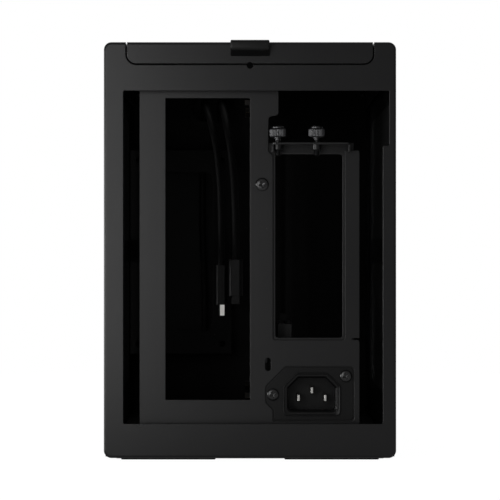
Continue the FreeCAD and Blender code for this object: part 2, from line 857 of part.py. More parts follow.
def spine_clamp_screws():
    """Screws from below, through the long slots of the base into the spine's foot."""
    screws = []
    for y in (-clamp_spread, clamp_spread):
        head_top = floor_low - seat_gap
        x = spine_right + clamp_offset
        head = rod((x, y, head_top - clamp_head_height), (0, 0, 1), clamp_head_radius, clamp_head_height)
        shank = rod((x, y, head_top), (0, 0, 1), clamp_screw_radius, spine_low + steel - head_top)
        screws.append(fuse([head, shank]))
    return Part.makeCompound(screws)


def pan_screw(x, y, z, length):
    """Screw driven along +Y: domed head on the outer face at y, cross recess, plain shank."""
    rim = screw_head_height * 0.3
    head = Part.makeCylinder(screw_head_radius, rim, V(x, y, z), V(0, -1, 0))
    crown = Part.makeCone(screw_head_radius, screw_head_radius * 0.6, screw_head_height - rim,
                          V(x, y - rim, z), V(0, -1, 0))
    head = head.fuse(crown)
    bottom = y - screw_head_height + screw_recess_depth
    half_w, half_l = screw_recess_width / 2, screw_recess_length / 2
    for du, dv in ((half_l, half_w), (half_w, half_l)):
        head = head.cut(block(x - du, x + du, y - 2 * screw_head_height, bottom, z - dv, z + dv))
    return fuse([head, rod((x, y, z), (0, 1, 0), screw_shank_radius, length)])


def plate_screw():
    return pan_screw(plate_screw_x, plate_y, plate_screw_z, 4 * steel)


def inlet_screws():
    seat = plate_y + inlet_flange_sink
    return Part.makeCompound([pan_screw(x, seat, z, 5 * steel) for x, z in inlet_screws_at])


def motherboard_standoffs():
    """Hexagonal threaded standoffs in the mini-ITX hole pattern."""
    posts = []
    across = standoff_flats / math.sqrt(3)
    rear_y = plate_back + board_hole_setback
    for y in (rear_y, rear_y + board_hole_y):
        for z in (io_centre_z - board_hole_z / 2, io_centre_z + board_hole_z / 2):
            turns = [math.radians(60 * i) for i in range(6)]
            corners = [(y + across * math.cos(t), z + across * math.sin(t)) for t in turns]
            tip = spine_x - standoff_height
            post = plate("YZ", corners, tip, standoff_height)
            posts.append(post.cut(rod((tip, y, z), (1, 0, 0), standoff_bore, standoff_height)))
    return Part.makeCompound(posts)


def gpu_bracket():
    """Frame behind the card opening, with the shelf that the card's tabs are screwed down on."""
    left = spine_right + spine_flange + 2 * running_clearance
    right = gpu_right + bracket_margin
    low = gpu_low - bracket_margin
    face = block(left, right, plate_back, plate_back + steel, low, shelf_top)
    opening = rectangle(gpu_left + gpu_rim, gpu_right - gpu_rim, gpu_low + gpu_rim, gpu_high - gpu_rim,
                        gpu_corner)
    face = face.cut(plate("XZ", opening, plate_back - steel, 3 * steel))
    shelf_rear = plate_y - shelf_depth
    shelf_front = plate_back + steel
    shelf_corners = [(shelf_left, shelf_front), (shelf_left, shelf_rear, 2), (shelf_right, shelf_rear, 2),
                     (shelf_right, shelf_front)]
    shelf = plate("XY", shelf_corners, shelf_top - steel, steel)
    ear_end = plate_y - seat_gap
    ears = [block(x, x + steel, shelf_rear + 2 * steel, ear_end, shelf_top - shelf_ear, shelf_top)
            for x in (shelf_left, shelf_right - steel)]
    collars = [rod((x, thumb_y(), shelf_top - steel - collar_height), (0, 0, 1), collar_radius, collar_height)
               for x in thumb_places()]
    bracket = fuse([face, shelf] + ears + collars)
    for x in thumb_places():
        bracket = bracket.cut(rod((x, thumb_y(), shelf_top - 3 * collar_height), (0, 0, 1),
                                  thumb_shank_radius + running_clearance, 4 * collar_height))
    return bracket


def thumb_places():
    return (thumb_x, thumb_x + slot_pitch)


def thumb_y():
    return plate_y - thumb_setback


def thumbscrew(x):
    """Knurled hand screw that stands on the card shelf."""
    head_low = shelf_top + thumb_gap
    corners = []
    for i in range(2 * thumb_knurls):
        angle = math.pi * i / thumb_knurls
        radius = thumb_head_radius - (thumb_knurl_depth if i % 2 else 0)
        corners.append((x + radius * math.cos(angle), thumb_y() + radius * math.sin(angle)))
    head = plate("XY", corners, head_low, thumb_head_height)
    crown = Part.makeCone(thumb_head_radius + thumb_head_height, thumb_head_radius - 2 * thumb_knurl_depth,
                          thumb_head_height + 3 * thumb_knurl_depth,
                          V(x, thumb_y(), head_low - 3 * thumb_knurl_depth))
    shank = rod((x, thumb_y(), shelf_top - thumb_shank_below), (0, 0, 1), thumb_shank_radius,
                thumb_shank_below + thumb_gap)
    return fuse([head.common(crown), shank])


def inlet_socket():
    """Moulded inlet: flange sunk in the plate's recess, collar, body with a tapered outlet for the lead."""
    face = plate_y - inlet_proud
    floor = plate_y + recess_depth
    flange_face = plate_y + inlet_flange_sink
    floor_back = floor + steel
    body_end = floor_back + inlet_body_depth
    collar = plate("XZ", collar_outline(0), face, floor_back - face)
    flange = plate("XZ", recess_outline(-recess_slope - inlet_flange_gap), flange_face, floor - flange_face)
    body = plate("XZ", collar_outline(-inlet_wall / 2), floor_back, inlet_body_depth)
    relief = Part.makeCone(2 * lead_radius, lead_radius + inlet_wall / 2, 3 * lead_radius,
                           V(inlet_x, body_end, inlet_z), V(0, 1, 0))
    socket = fuse([collar, flange, body, relief])
    throat = inlet_outline(inlet_cavity_width, inlet_cavity_height, inlet_cavity_chamfer)
    cavity = plate("XZ", throat, face - steel, inlet_cavity_depth + steel)
    wide = inlet_outline(inlet_cavity_width + 2 * inlet_mouth, inlet_cavity_height + 2 * inlet_mouth,
                         inlet_cavity_chamfer + inlet_mouth / 2)
    mouth = Part.makeLoft([outline("XZ", wide, face), outline("XZ", throat, face + inlet_mouth)], True, True)
    socket = socket.cut(cavity).cut(mouth)
    for x, z in inlet_screws_at:
        socket = socket.cut(rod((x, face, z), (0, 1, 0), screw_shank_radius + running_clearance,
                                floor_back - face))
    for pin in pin_blades():
        socket = socket.cut(pin)
    return socket


def pin_blades():
    face = plate_y - inlet_proud
    tip = face + pin_setback
    end = face + inlet_cavity_depth + pin_tail
    places = ((-pin_pitch / 2, -pin_lift), (0, pin_lift), (pin_pitch / 2, -pin_lift))
    blades = []
    for dx, dz in places:
        x, z = inlet_x + dx, inlet_z + dz
        shoulder = tip + 2 * pin_taper
        blade = block(x - pin_width / 2, x + pin_width / 2, shoulder, end, z - pin_tall / 2, z + pin_tall / 2)
        point = Part.makeLoft([pin_outline(x, z, pin_taper, tip), pin_outline(x, z, 0, shoulder)], True, True)
        blades.append(fuse([blade, point]))
    return blades


def pin_outline(x, z, shrink, y):
    half_width = pin_width / 2 - shrink
    half_tall = pin_tall / 2 - shrink
    return outline("XZ", rectangle(x - half_width, x + half_width, z - half_tall, z + half_tall), y)


def inlet_pins():
    return Part.makeCompound(pin_blades())


# Riser

def riser_bracket():
    end = riser_start + riser_length
    low_face = riser_board_top - board_thick - steel
    shelf = block(spine_right, spine_right + riser_leg, riser_start, end, low_face, low_face + steel)
    leg = block(spine_right, spine_right + steel, riser_start, end,
                ribbon_window_high + steel, low_face + steel)
    return fuse([shelf, leg])


def riser_board():
    low_face = riser_board_top - board_thick
    return block(riser_board_left, riser_board_left + riser_board_width,
                 riser_start, riser_start + riser_length, low_face, riser_board_top)


def riser_socket():
    half = riser_socket_width / 2
    start = riser_start + (riser_length - riser_socket_length) / 2
    end = start + riser_socket_length
    high = riser_board_top + riser_socket_height
    housing = block(riser_x - half, riser_x + half, start, end, riser_board_top, high)
    key = start + 2 * half + riser_key_place
    rib = riser_groove_width / 2
    for groove_start, groove_end in ((start + half, key - rib), (key + rib, end - half)):
        housing = housing.cut(block(riser_x - rib, riser_x + rib, groove_start, groove_end,
                                    high - riser_groove_depth, high + 1))
    latch = block(riser_x - half / 2, riser_x + half / 2, end, end + half / 2, riser_board_top, high + half)
    return fuse([housing, latch])


def riser_ribbon():
    """Flat ribbon from the riser board, down and through the spine to its plug."""
    half = ribbon_thick / 2
    top = riser_board_top - board_thick
    corners = [(ribbon_x + half, top), (ribbon_x - half, top),
               (ribbon_x - half, ribbon_low + half, ribbon_bend - half), (ribbon_end_x, ribbon_low + half),
               (ribbon_end_x, ribbon_low - half), (ribbon_x + half, ribbon_low - half, ribbon_bend + half)]
    start = riser_start + (riser_length - ribbon_width) / 2
    return plate("XZ", corners, start, ribbon_width)


def riser_plug():
    """Plug on the ribbon's end, with the contact card that goes into the motherboard's slot."""
    start = riser_start + (riser_length - ribbon_width) / 2
    half = riser_plug_thick / 2
    face = ribbon_end_x - riser_plug_height
    body = block(face, ribbon_end_x, start, start + ribbon_width, ribbon_low - half, ribbon_low + half)
    card = block(face - riser_card_reach, face, start + half, start + ribbon_width - half,
                 ribbon_low - board_thick / 2, ribbon_low + board_thick / 2)
    return fuse([body, card])


# Cables

def bend_radii(points):
    """Largest radius for each inner point: 0.45 of its shorter run over the tangent of half the turn."""
    radii = []
    for before, here, after in zip(points, points[1:], points[2:]):
        incoming, outgoing = here - before, after - here
        half_turn = incoming.getAngle(outgoing) / 2
        radii.append(0.45 * min(incoming.Length, outgoing.Length) / math.tan(half_turn))
    return radii


def tube(route, radius):
    """Tube along straight runs joined by tangent arcs."""
    points = [V(*p) for p in route]
    edges = []
    leave = points[0]
    for here, after, bend in zip(points[1:], points[2:], bend_radii(points)):
        incoming = (here - leave).normalize()
        outgoing = (after - here).normalize()
        half_turn = incoming.getAngle(outgoing) / 2
        cut = bend * math.tan(half_turn)
        enter, exit_point = here - incoming * cut, here + outgoing * cut
        inward = (outgoing - incoming).normalize()
        middle = here + inward * (bend / math.cos(half_turn) - bend)
        edges.append(Part.LineSegment(leave, enter).toShape())
        edges.append(Part.Arc(enter, middle, exit_point).toShape())
        leave = exit_point
    edges.append(Part.LineSegment(leave, points[-1]).toShape())
    path = Part.Wire(edges)
    section = Part.Wire(Part.makeCircle(radius, points[0], points[1] - points[0]))
    solid = path.makePipeShell([section], True, True)
    print("tube length %.1f volume ratio %.4f radii %s" % (
        path.Length, solid.Volume / (math.pi * radius ** 2 * path.Length),
        [round(r, 1) for r in bend_radii(points)]))
    return solid


def lead_line():
    """Route of the power lead: out of the inlet, down to the floor, along the spine to its plug."""
    y = plate_y + recess_depth + steel + inlet_body_depth + 3 * lead_radius
    low = spine_low + 2 * steel + lead_radius
    near = spine_right + lead_clip_wall + lead_radius + seat_gap
    points = [(inlet_x, y, inlet_z)]
    y += lead_start_run
    points.append((inlet_x, y, inlet_z))
    y += lead_drop_run
    points.append((inlet_x - lead_bow, y, low + lead_bow / 3))
    y += lead_cross_run
    points.append((near + lead_bow, y, low))
    points.append((near, y + lead_join_run, low))
    points.append((near, spine_front - lead_end_gap, low))
    return points


def lead_clip_places():
    end = lead_line()[-1][1] - 2 * lead_clip_length
    return (end - lead_clip_pitch, end)


def power_lead():
    return tube(lead_line(), lead_radius)


def lead_clips():
    """Plastic saddles that hold the lead against the spine."""
    x, _, z = lead_line()[-1]
    clips = []
    for y in lead_clip_places():
        outer = lead_radius + seat_gap + lead_clip_wall
        ring = rod((x, y, z), (0, 1, 0), outer, lead_clip_length)
        base = block(spine_right, x, y, y + lead_clip_length, z - outer / 2, z + outer)
        saddle = fuse([ring, base]).cut(rod((x, y, z), (0, 1, 0), lead_radius + seat_gap, lead_clip_length))
        mouth = block(x, x + 2 * outer, y, y + lead_clip_length, z - 2 * outer, z - lead_radius / 2)
        over = block(-x_side, spine_right, y, y + lead_clip_length, z - 2 * outer, z + 2 * outer)
        under = block(-x_side, x_side, y, y + lead_clip_length, 0, spine_low + steel)
        clips.append(saddle.cut(mouth).cut(over).cut(under))
    return Part.makeCompound(clips)


def power_lead_plug():
    """Moulded plug at the end of the lead."""
    x, y, z = lead_line()[-1]
    low = spine_low + steel
    neck = Part.makeCone(lead_radius + 0.2, lead_radius + 1, lead_plug_length / 3, V(x, y, z), V(0, 1, 0))
    left = spine_right
    body = plate("XZ", rectangle(left, left + lead_plug_width, low, low + lead_plug_height, 2),
                 y + lead_plug_length / 3, lead_plug_length * 2 / 3)
    return fuse([neck, body])


def header_plug(route, width, depth, length, tip):
    """Header plug that hangs at the end of a cable: housing with a narrower tip below it."""
    x, y, z = route[-1]
    housing = plate("XY", rectangle(x - width / 2, x + width / 2, y - depth / 2, y + depth / 2, width / 4),
                    z - length, length)
    half_x = width * plug_tip_share[0] / 2
    half_y = depth * plug_tip_share[1] / 2
    nose = block(x - half_x, x + half_x, y - half_y, y + half_y, z - length - tip, z - length)
    return fuse([housing, nose])


def build():
    nodes = {
        "rear_frame": rear_frame(), "front_panel": front_panel(), "base_tray": base_tray(),
        "foot_rear_left": foot(-1, -1), "foot_rear_right": foot(1, -1),
        "foot_front_left": foot(-1, 1), "foot_front_right": foot(1, 1),
        "top_rail_left": mirrored(top_rail()), "top_rail_right": top_rail(), "snap_grommets": snap_grommets(),
        "front_bulkhead": front_bulkhead(), "cable_grommet": cable_grommet(), "psu_bracket": psu_bracket(),
        "io_board": io_board(), "io_board_spacers": io_board_spacers(), "usb_c_port": usb_c_port(),
        "usb_a_ports": usb_a_ports(), "power_switch": power_switch(), "power_button": power_button(),
        "top_panel": top_panel(), "pull_tab": pull_tab(), "top_panel_studs": top_panel_studs(),
        "left_side_panel": mirrored(side_panel()), "left_panel_studs": mirrored(side_studs()),
        "right_side_panel": side_panel(), "right_panel_studs": side_studs(),
        "rear_plate": rear_plate(), "spine_plate": spine_plate(), "spine_clamp_screws": spine_clamp_screws(),
        "plate_screw": plate_screw(), "motherboard_standoffs": motherboard_standoffs(),
        "gpu_bracket": gpu_bracket(),
        "inlet_socket": inlet_socket(), "inlet_pins": inlet_pins(), "inlet_screws": inlet_screws(),
        "riser_bracket": riser_bracket(), "riser_board": riser_board(), "riser_socket": riser_socket(),
        "riser_ribbon": riser_ribbon(), "riser_plug": riser_plug(),
        "power_lead": power_lead(), "lead_clips": lead_clips(), "power_lead_plug": power_lead_plug(),
        "usb_c_cable": tube(usb_c_route, usb_c_cable_radius),
        "usb_a_cable": tube(usb_a_route, usb_a_cable_radius),
        "usb_c_plug": header_plug(usb_c_route, *usb_c_plug_size),
        "usb_a_plug": header_plug(usb_a_route, *usb_a_plug_size),
    }
    for i, x in enumerate(thumb_places(), 1):
        nodes["gpu_thumbscrew_%d" % i] = thumbscrew(x)
    return nodes


os.makedirs("parts", exist_ok=True)
for name, shape in build().items():
    assert shape.isValid(), name
    shape.exportStep("parts/%s.step" % name)
    print(name, len(shape.Solids), round(shape.Volume), shape.BoundBox)
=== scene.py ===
"""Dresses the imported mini-ITX computer case and sets it in a white studio, seen squarely from the rear.

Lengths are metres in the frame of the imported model: +Z up, the rear of the case faces -Y.
"""
import bmesh
import bpy
import json
import math
import numpy as np
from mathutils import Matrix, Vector


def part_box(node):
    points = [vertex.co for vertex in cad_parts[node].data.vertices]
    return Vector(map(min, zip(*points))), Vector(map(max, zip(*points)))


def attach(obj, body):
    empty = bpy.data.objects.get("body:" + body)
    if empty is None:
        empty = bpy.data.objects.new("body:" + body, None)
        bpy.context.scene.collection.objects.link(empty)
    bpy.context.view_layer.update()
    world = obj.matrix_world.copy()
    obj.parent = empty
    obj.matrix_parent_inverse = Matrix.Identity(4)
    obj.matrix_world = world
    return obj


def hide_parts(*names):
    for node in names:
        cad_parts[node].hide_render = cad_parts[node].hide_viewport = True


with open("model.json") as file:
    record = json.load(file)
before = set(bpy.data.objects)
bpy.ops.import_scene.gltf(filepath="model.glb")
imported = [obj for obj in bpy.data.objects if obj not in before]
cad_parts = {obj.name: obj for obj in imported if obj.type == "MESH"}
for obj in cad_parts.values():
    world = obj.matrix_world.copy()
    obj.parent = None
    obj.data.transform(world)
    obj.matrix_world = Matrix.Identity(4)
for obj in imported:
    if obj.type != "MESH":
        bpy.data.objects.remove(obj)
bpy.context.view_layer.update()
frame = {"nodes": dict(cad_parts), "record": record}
nodes = frame["nodes"]

MM = 0.001


# Places read from the frame

def low_corner(node):
    """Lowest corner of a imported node's box at rest."""
    return np.array(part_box(node)[0])


def high_corner(node):
    """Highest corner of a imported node's box at rest."""
    return np.array(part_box(node)[1])


# Shader node groups that several finishes share

def new_group(name, inputs, outputs):
    """Empty shader node group; inputs are (name, socket type, default), outputs are (name, socket type)."""
    group = bpy.data.node_groups.new(name, "ShaderNodeTree")
    for label, kind, value in inputs:
        socket = group.interface.new_socket(label, in_out="INPUT", socket_type=kind)
        if value is not None:
            socket.default_value = value
    for label, kind in outputs:
        group.interface.new_socket(label, in_out="OUTPUT", socket_type=kind)
    return group, group.nodes.new("NodeGroupInput"), group.nodes.new("NodeGroupOutput")


def add_node(tree, kind, values=None, **settings):
    """Node of that kind; settings are its properties, values its unlinked inputs by name or place."""
    node = tree.nodes.new(kind)
    for key, value in settings.items():
        setattr(node, key, value)
    for key, value in (values or {}).items():
        node.inputs[key].default_value = value
    return node


def math_node(tree, operation, first, second, clamp=False):
    """Math node; each operand is an output socket or a number."""
    node = add_node(tree, "ShaderNodeMath", operation=operation, use_clamp=clamp)
    for place, operand in enumerate((first, second)):
        if isinstance(operand, (int, float)):
            node.inputs[place].default_value = operand
        else:
            tree.links.new(operand, node.inputs[place])
    return node.outputs[0]


def make_coat_group():
    """Sprayed coat: fine peel as height, a soft drift of colour and roughness, and a few pale dust specks."""
    group, given, out = new_group(
        "sprayed_coat",
        [("Vector", "NodeSocketVector", None), ("Colour", "NodeSocketColor", (0.02, 0.02, 0.02, 1)),
         ("Roughness", "NodeSocketFloat", 0.45), ("Peel Scale", "NodeSocketFloat", 1800.0),
         ("Drift", "NodeSocketFloat", 0.2), ("Dust", "NodeSocketFloat", 0.1)],
        [("Colour", "NodeSocketColor"), ("Roughness", "NodeSocketFloat"), ("Height", "NodeSocketFloat")])
    link = group.links.new
    peel = add_node(group, "ShaderNodeTexNoise", {"Detail": 3.0, "Roughness": 0.6})
    drift = add_node(group, "ShaderNodeTexNoise", {"Scale": 14.0, "Detail": 4.0, "Roughness": 0.55})
    specks = add_node(group, "ShaderNodeTexVoronoi", {"Scale": 260.0}, feature="F1")
    for texture in (peel, drift, specks):
        link(given.outputs["Vector"], texture.inputs["Vector"])
    link(given.outputs["Peel Scale"], peel.inputs["Scale"])
    speck = add_node(group, "ShaderNodeMapRange", {"From Min": 0.03, "From Max": 0.10,
                                                   "To Min": 1.0, "To Max": 0.0})
    link(specks.outputs["Distance"], speck.inputs["Value"])
    rare = math_node(group, "GREATER_THAN", drift.outputs["Fac"], 0.62)
    dust = math_node(group, "MULTIPLY", math_node(group, "MULTIPLY", speck.outputs["Result"], rare),
                     given.outputs["Dust"])
    centred = math_node(group, "SUBTRACT", drift.outputs["Fac"], 0.5)
    swing = math_node(group, "MULTIPLY", centred, given.outputs["Drift"])
    gain = math_node(group, "ADD", 1.0, math_node(group, "MULTIPLY", swing, 2.0))
    tint = add_node(group, "ShaderNodeVectorMath", operation="SCALE")
    link(given.outputs["Colour"], tint.inputs[0])
    link(gain, tint.inputs["Scale"])
    dusty = add_node(group, "ShaderNodeMix", {"B": (0.30, 0.29, 0.28, 1)}, data_type="RGBA")
    link(dust, dusty.inputs["Factor"])
    link(tint.outputs[0], dusty.inputs["A"])
    rough = math_node(group, "ADD", given.outputs["Roughness"], math_node(group, "MULTIPLY", swing, 0.5),
                      clamp=True)
    link(dusty.outputs["Result"], out.inputs["Colour"])
    link(rough, out.inputs["Roughness"])
    link(peel.outputs["Fac"], out.inputs["Height"])
    return group


def make_edge_group():
    """Softened edges: a normal rounded over the radius, and a mask that is 1 on edges and 0 on flats."""
    group, given, out = new_group(
        "soft_edges", [("Radius", "NodeSocketFloat", 0.0004), ("Gain", "NodeSocketFloat", 3.0)],
        [("Normal", "NodeSocketVector"), ("Mask", "NodeSocketFloat")])
    link = group.links.new
    bevel = add_node(group, "ShaderNodeBevel", samples=6)
    link(given.outputs["Radius"], bevel.inputs["Radius"])
    flat = add_node(group, "ShaderNodeNewGeometry")
    dot = add_node(group, "ShaderNodeVectorMath", operation="DOT_PRODUCT")
    link(bevel.outputs["Normal"], dot.inputs[0])
    link(flat.outputs["Normal"], dot.inputs[1])
    turn = math_node(group, "SUBTRACT", 1.0, dot.outputs["Value"])
    link(math_node(group, "MULTIPLY", turn, given.outputs["Gain"], clamp=True), out.inputs["Mask"])
    link(bevel.outputs["Normal"], out.inputs["Normal"])
    return group


def make_inside_group():
    """Inside of a shell: a mask that is 1 in the box from Low to High and 0 on the skin round it."""
    group, given, out = new_group(
        "shell_inside", [("Vector", "NodeSocketVector", None), ("Low", "NodeSocketVector", (-1, -1, -1)),
                         ("High", "NodeSocketVector", (1, 1, 1))], [("Mask", "NodeSocketFloat")])
    link = group.links.new
    over = add_node(group, "ShaderNodeVectorMath", operation="SUBTRACT")
    under = add_node(group, "ShaderNodeVectorMath", operation="SUBTRACT")
    least = add_node(group, "ShaderNodeVectorMath", operation="MINIMUM")
    link(given.outputs["Vector"], over.inputs[0])
    link(given.outputs["Low"], over.inputs[1])
    link(given.outputs["High"], under.inputs[0])
    link(given.outputs["Vector"], under.inputs[1])
    link(over.outputs[0], least.inputs[0])
    link(under.outputs[0], least.inputs[1])
    parts = add_node(group, "ShaderNodeSeparateXYZ")
    link(least.outputs[0], parts.inputs["Vector"])
    nearest = math_node(group, "MINIMUM", math_node(group, "MINIMUM", parts.outputs["X"], parts.outputs["Y"]),
                        parts.outputs["Z"])
    link(math_node(group, "GREATER_THAN", nearest, 0.0), out.inputs["Mask"])
    return group


coat_group = make_coat_group()
edge_group = make_edge_group()
inside_group = make_inside_group()


# Finishes

satin_black = (0.0040, 0.0040, 0.0043)
# Edge colour of the powder coat: rubbed wear, and partly a painted highlight along the edges
powder_edge_wear_and_highlight = (0.014, 0.014, 0.0145)
zinc_black, zinc_worn = (0.050, 0.050, 0.052), (0.26, 0.26, 0.255)
zinc_streaks, turned_streaks = (900.0, 900.0, 200.0), (1200.0, 120.0, 1200.0)
# Colour of the painted shade on the hand screws' shanks under the card bracket's shelf
under_shelf_shade = (0.012, 0.012, 0.0125)
# Colour of the painted shade in the card bracket's crevice along the plate
painted_crevice_shade = (0.0010, 0.0010, 0.0011)


def new_finish(name):
    """Empty node material: returns it, its tree, its Principled shader and the Object coordinates."""
    finish = bpy.data.materials.new(name)
    finish.use_nodes = True
    tree = finish.node_tree
    shader = tree.nodes["Principled BSDF"]
    place = add_node(tree, "ShaderNodeTexCoord").outputs["Object"]
    return finish, tree, shader, place


def use_group(tree, group, values):
    """Node that puts a shared group into a tree, with its unlinked inputs by name."""
    return add_node(tree, "ShaderNodeGroup", values, node_tree=group)


def bumped(tree, height, strength, distance, normal=None):
    """Normal of a Bump node over that height."""
    bump = add_node(tree, "ShaderNodeBump", {"Strength": strength, "Distance": distance})
    tree.links.new(height, bump.inputs["Height"])
    if normal is not None:
        tree.links.new(normal, bump.inputs["Normal"])
    return bump.outputs["Normal"]


def coated_finish(name, colour, roughness, peel_scale, peel_depth, edge_wear_and_highlight, edge_radius=0.0004,
                  drift=0.2, dust=0.1, specular=0.5, inside=None):
    """Coated, moulded or rubber surface: sprayed coat, softened edges, edges lightened towards the given edge
    colour, partly as rubbed wear and partly as a painted highlight.

    inside is (low corner, high corner, roughness): the coat is left that dull within that box.
    """
    finish, tree, shader, place = new_finish(name)
    link = tree.links.new
    coat = use_group(tree, coat_group, {"Colour": (*colour, 1), "Roughness": roughness,
                                        "Peel Scale": peel_scale, "Drift": drift, "Dust": dust})
    edges = use_group(tree, edge_group, {"Radius": edge_radius, "Gain": 2.5})
    link(place, coat.inputs["Vector"])
    # Edges lightened towards the edge colour: rubbed wear, and partly a painted highlight along the edges
    rubbed = add_node(tree, "ShaderNodeMix", {"B": (*edge_wear_and_highlight, 1)}, data_type="RGBA")
    link(edges.outputs["Mask"], rubbed.inputs["Factor"])
    link(coat.outputs["Colour"], rubbed.inputs["A"])
    link(rubbed.outputs["Result"], shader.inputs["Base Color"])
    rough = coat.outputs["Roughness"]
    if inside is not None:
        low, high, dull = inside
        within = use_group(tree, inside_group, {"Low": tuple(low), "High": tuple(high)})
        link(place, within.inputs["Vector"])
        sides = add_node(tree, "ShaderNodeMix", {"B": dull}, data_type="FLOAT")
        link(within.outputs["Mask"], sides.inputs["Factor"])
        link(rough, sides.inputs["A"])
        rough = sides.outputs["Result"]
    link(rough, shader.inputs["Roughness"])
    peel = bumped(tree, coat.outputs["Height"], strength=0.35, distance=peel_depth,
                  normal=edges.outputs["Normal"])
    link(peel, shader.inputs["Normal"])
    shader.inputs["Specular IOR Level"].default_value = specular
    return finish


def metal_finish(name, colour, worn_colour, roughness, streak_scale, edge_radius=0.00015, dark_below=None):
    """Turned or plated metal: fine streaks in roughness and relief, brighter where the edges are rubbed.

    Below the height dark_below it is darkened: painted shade, for a shank that runs in the shade under a shelf.
    """
    finish, tree, shader, place = new_finish(name)
    link = tree.links.new
    stretch = add_node(tree, "ShaderNodeMapping", {"Scale": streak_scale})
    link(place, stretch.inputs["Vector"])
    streaks = add_node(tree, "ShaderNodeTexNoise", {"Scale": 1.0, "Detail": 3.0, "Roughness": 0.65})
    link(stretch.outputs["Vector"], streaks.inputs["Vector"])
    edges = use_group(tree, edge_group, {"Radius": edge_radius, "Gain": 4.0})
    worn = math_node(tree, "MULTIPLY", edges.outputs["Mask"],
                     math_node(tree, "ADD", streaks.outputs["Fac"], 0.3), clamp=True)
    rubbed = add_node(tree, "ShaderNodeMix", {"A": (*colour, 1), "B": (*worn_colour, 1)}, data_type="RGBA")
    link(worn, rubbed.inputs["Factor"])
    tone = rubbed.outputs["Result"]
    # Painted shade below the height dark_below
    if dark_below is not None:
        split = add_node(tree, "ShaderNodeSeparateXYZ")
        link(place, split.inputs["Vector"])
        shaded_below = add_node(tree, "ShaderNodeMix", {"B": (*under_shelf_shade, 1)}, data_type="RGBA")
        link(math_node(tree, "LESS_THAN", split.outputs["Z"], float(dark_below)), shaded_below.inputs["Factor"])
        link(tone, shaded_below.inputs["A"])
        tone = shaded_below.outputs["Result"]
    link(tone, shader.inputs["Base Color"])
    rough = add_node(tree, "ShaderNodeMapRange", {"To Min": roughness - 0.08, "To Max": roughness + 0.08})
    link(streaks.outputs["Fac"], rough.inputs["Value"])
    link(rough.outputs["Result"], shader.inputs["Roughness"])
    scored = bumped(tree, streaks.outputs["Fac"], strength=0.15, distance=0.00005,
                    normal=edges.outputs["Normal"])
    link(scored, shader.inputs["Normal"])
    shader.inputs["Metallic"].default_value = 1.0
    return finish


def board_finish(name, mask_colour, trace_colour):
    """Circuit board: solder mask with slightly raised traces in a square-cornered maze."""
    finish, tree, shader, place = new_finish(name)
    link = tree.links.new
    maze = add_node(tree, "ShaderNodeTexVoronoi", {"Scale": 420.0}, distance="CHEBYCHEV",
                    feature="DISTANCE_TO_EDGE")
    link(place, maze.inputs["Vector"])
    trace = add_node(tree, "ShaderNodeMapRange", {"From Min": 0.02, "From Max": 0.09,
                                                  "To Min": 1.0, "To Max": 0.0})
    link(maze.outputs["Distance"], trace.inputs["Value"])
    mix = add_node(tree, "ShaderNodeMix", {"A": (*mask_colour, 1), "B": (*trace_colour, 1)}, data_type="RGBA")
    link(trace.outputs["Result"], mix.inputs["Factor"])
    link(mix.outputs["Result"], shader.inputs["Base Color"])
    link(bumped(tree, trace.outputs["Result"], strength=0.3, distance=0.00004), shader.inputs["Normal"])
    shader.inputs["Roughness"].default_value = 0.38
    return finish


def plug_finish(name, tip_high, tip_left, body_colour, tip_colour):
    """Header plug: moulded body, and a bright plated tip below the height tip_high and right of tip_left."""
    finish, tree, shader, place = new_finish(name)
    link = tree.links.new
    split = add_node(tree, "ShaderNodeSeparateXYZ")
    link(place, split.inputs["Vector"])
    tip = math_node(tree, "MULTIPLY", math_node(tree, "LESS_THAN", split.outputs["Z"], tip_high),
                    math_node(tree, "GREATER_THAN", split.outputs["X"], tip_left))
    coat = use_group(tree, coat_group, {"Colour": (*body_colour, 1), "Roughness": 0.45, "Peel Scale": 1400.0})
    link(place, coat.inputs["Vector"])
    tone = add_node(tree, "ShaderNodeMix", {"B": (*tip_colour, 1)}, data_type="RGBA")
    link(tip, tone.inputs["Factor"])
    link(coat.outputs["Colour"], tone.inputs["A"])
    link(tone.outputs["Result"], shader.inputs["Base Color"])
    link(tip, shader.inputs["Metallic"])
    rough = add_node(tree, "ShaderNodeMix", {"B": 0.30}, data_type="FLOAT")
    link(tip, rough.inputs["Factor"])
    link(coat.outputs["Roughness"], rough.inputs["A"])
    link(rough.outputs["Result"], shader.inputs["Roughness"])
    link(bumped(tree, coat.outputs["Height"], strength=0.3, distance=0.00003), shader.inputs["Normal"])
    shader.inputs["Specular IOR Level"].default_value = 0.25
    return finish


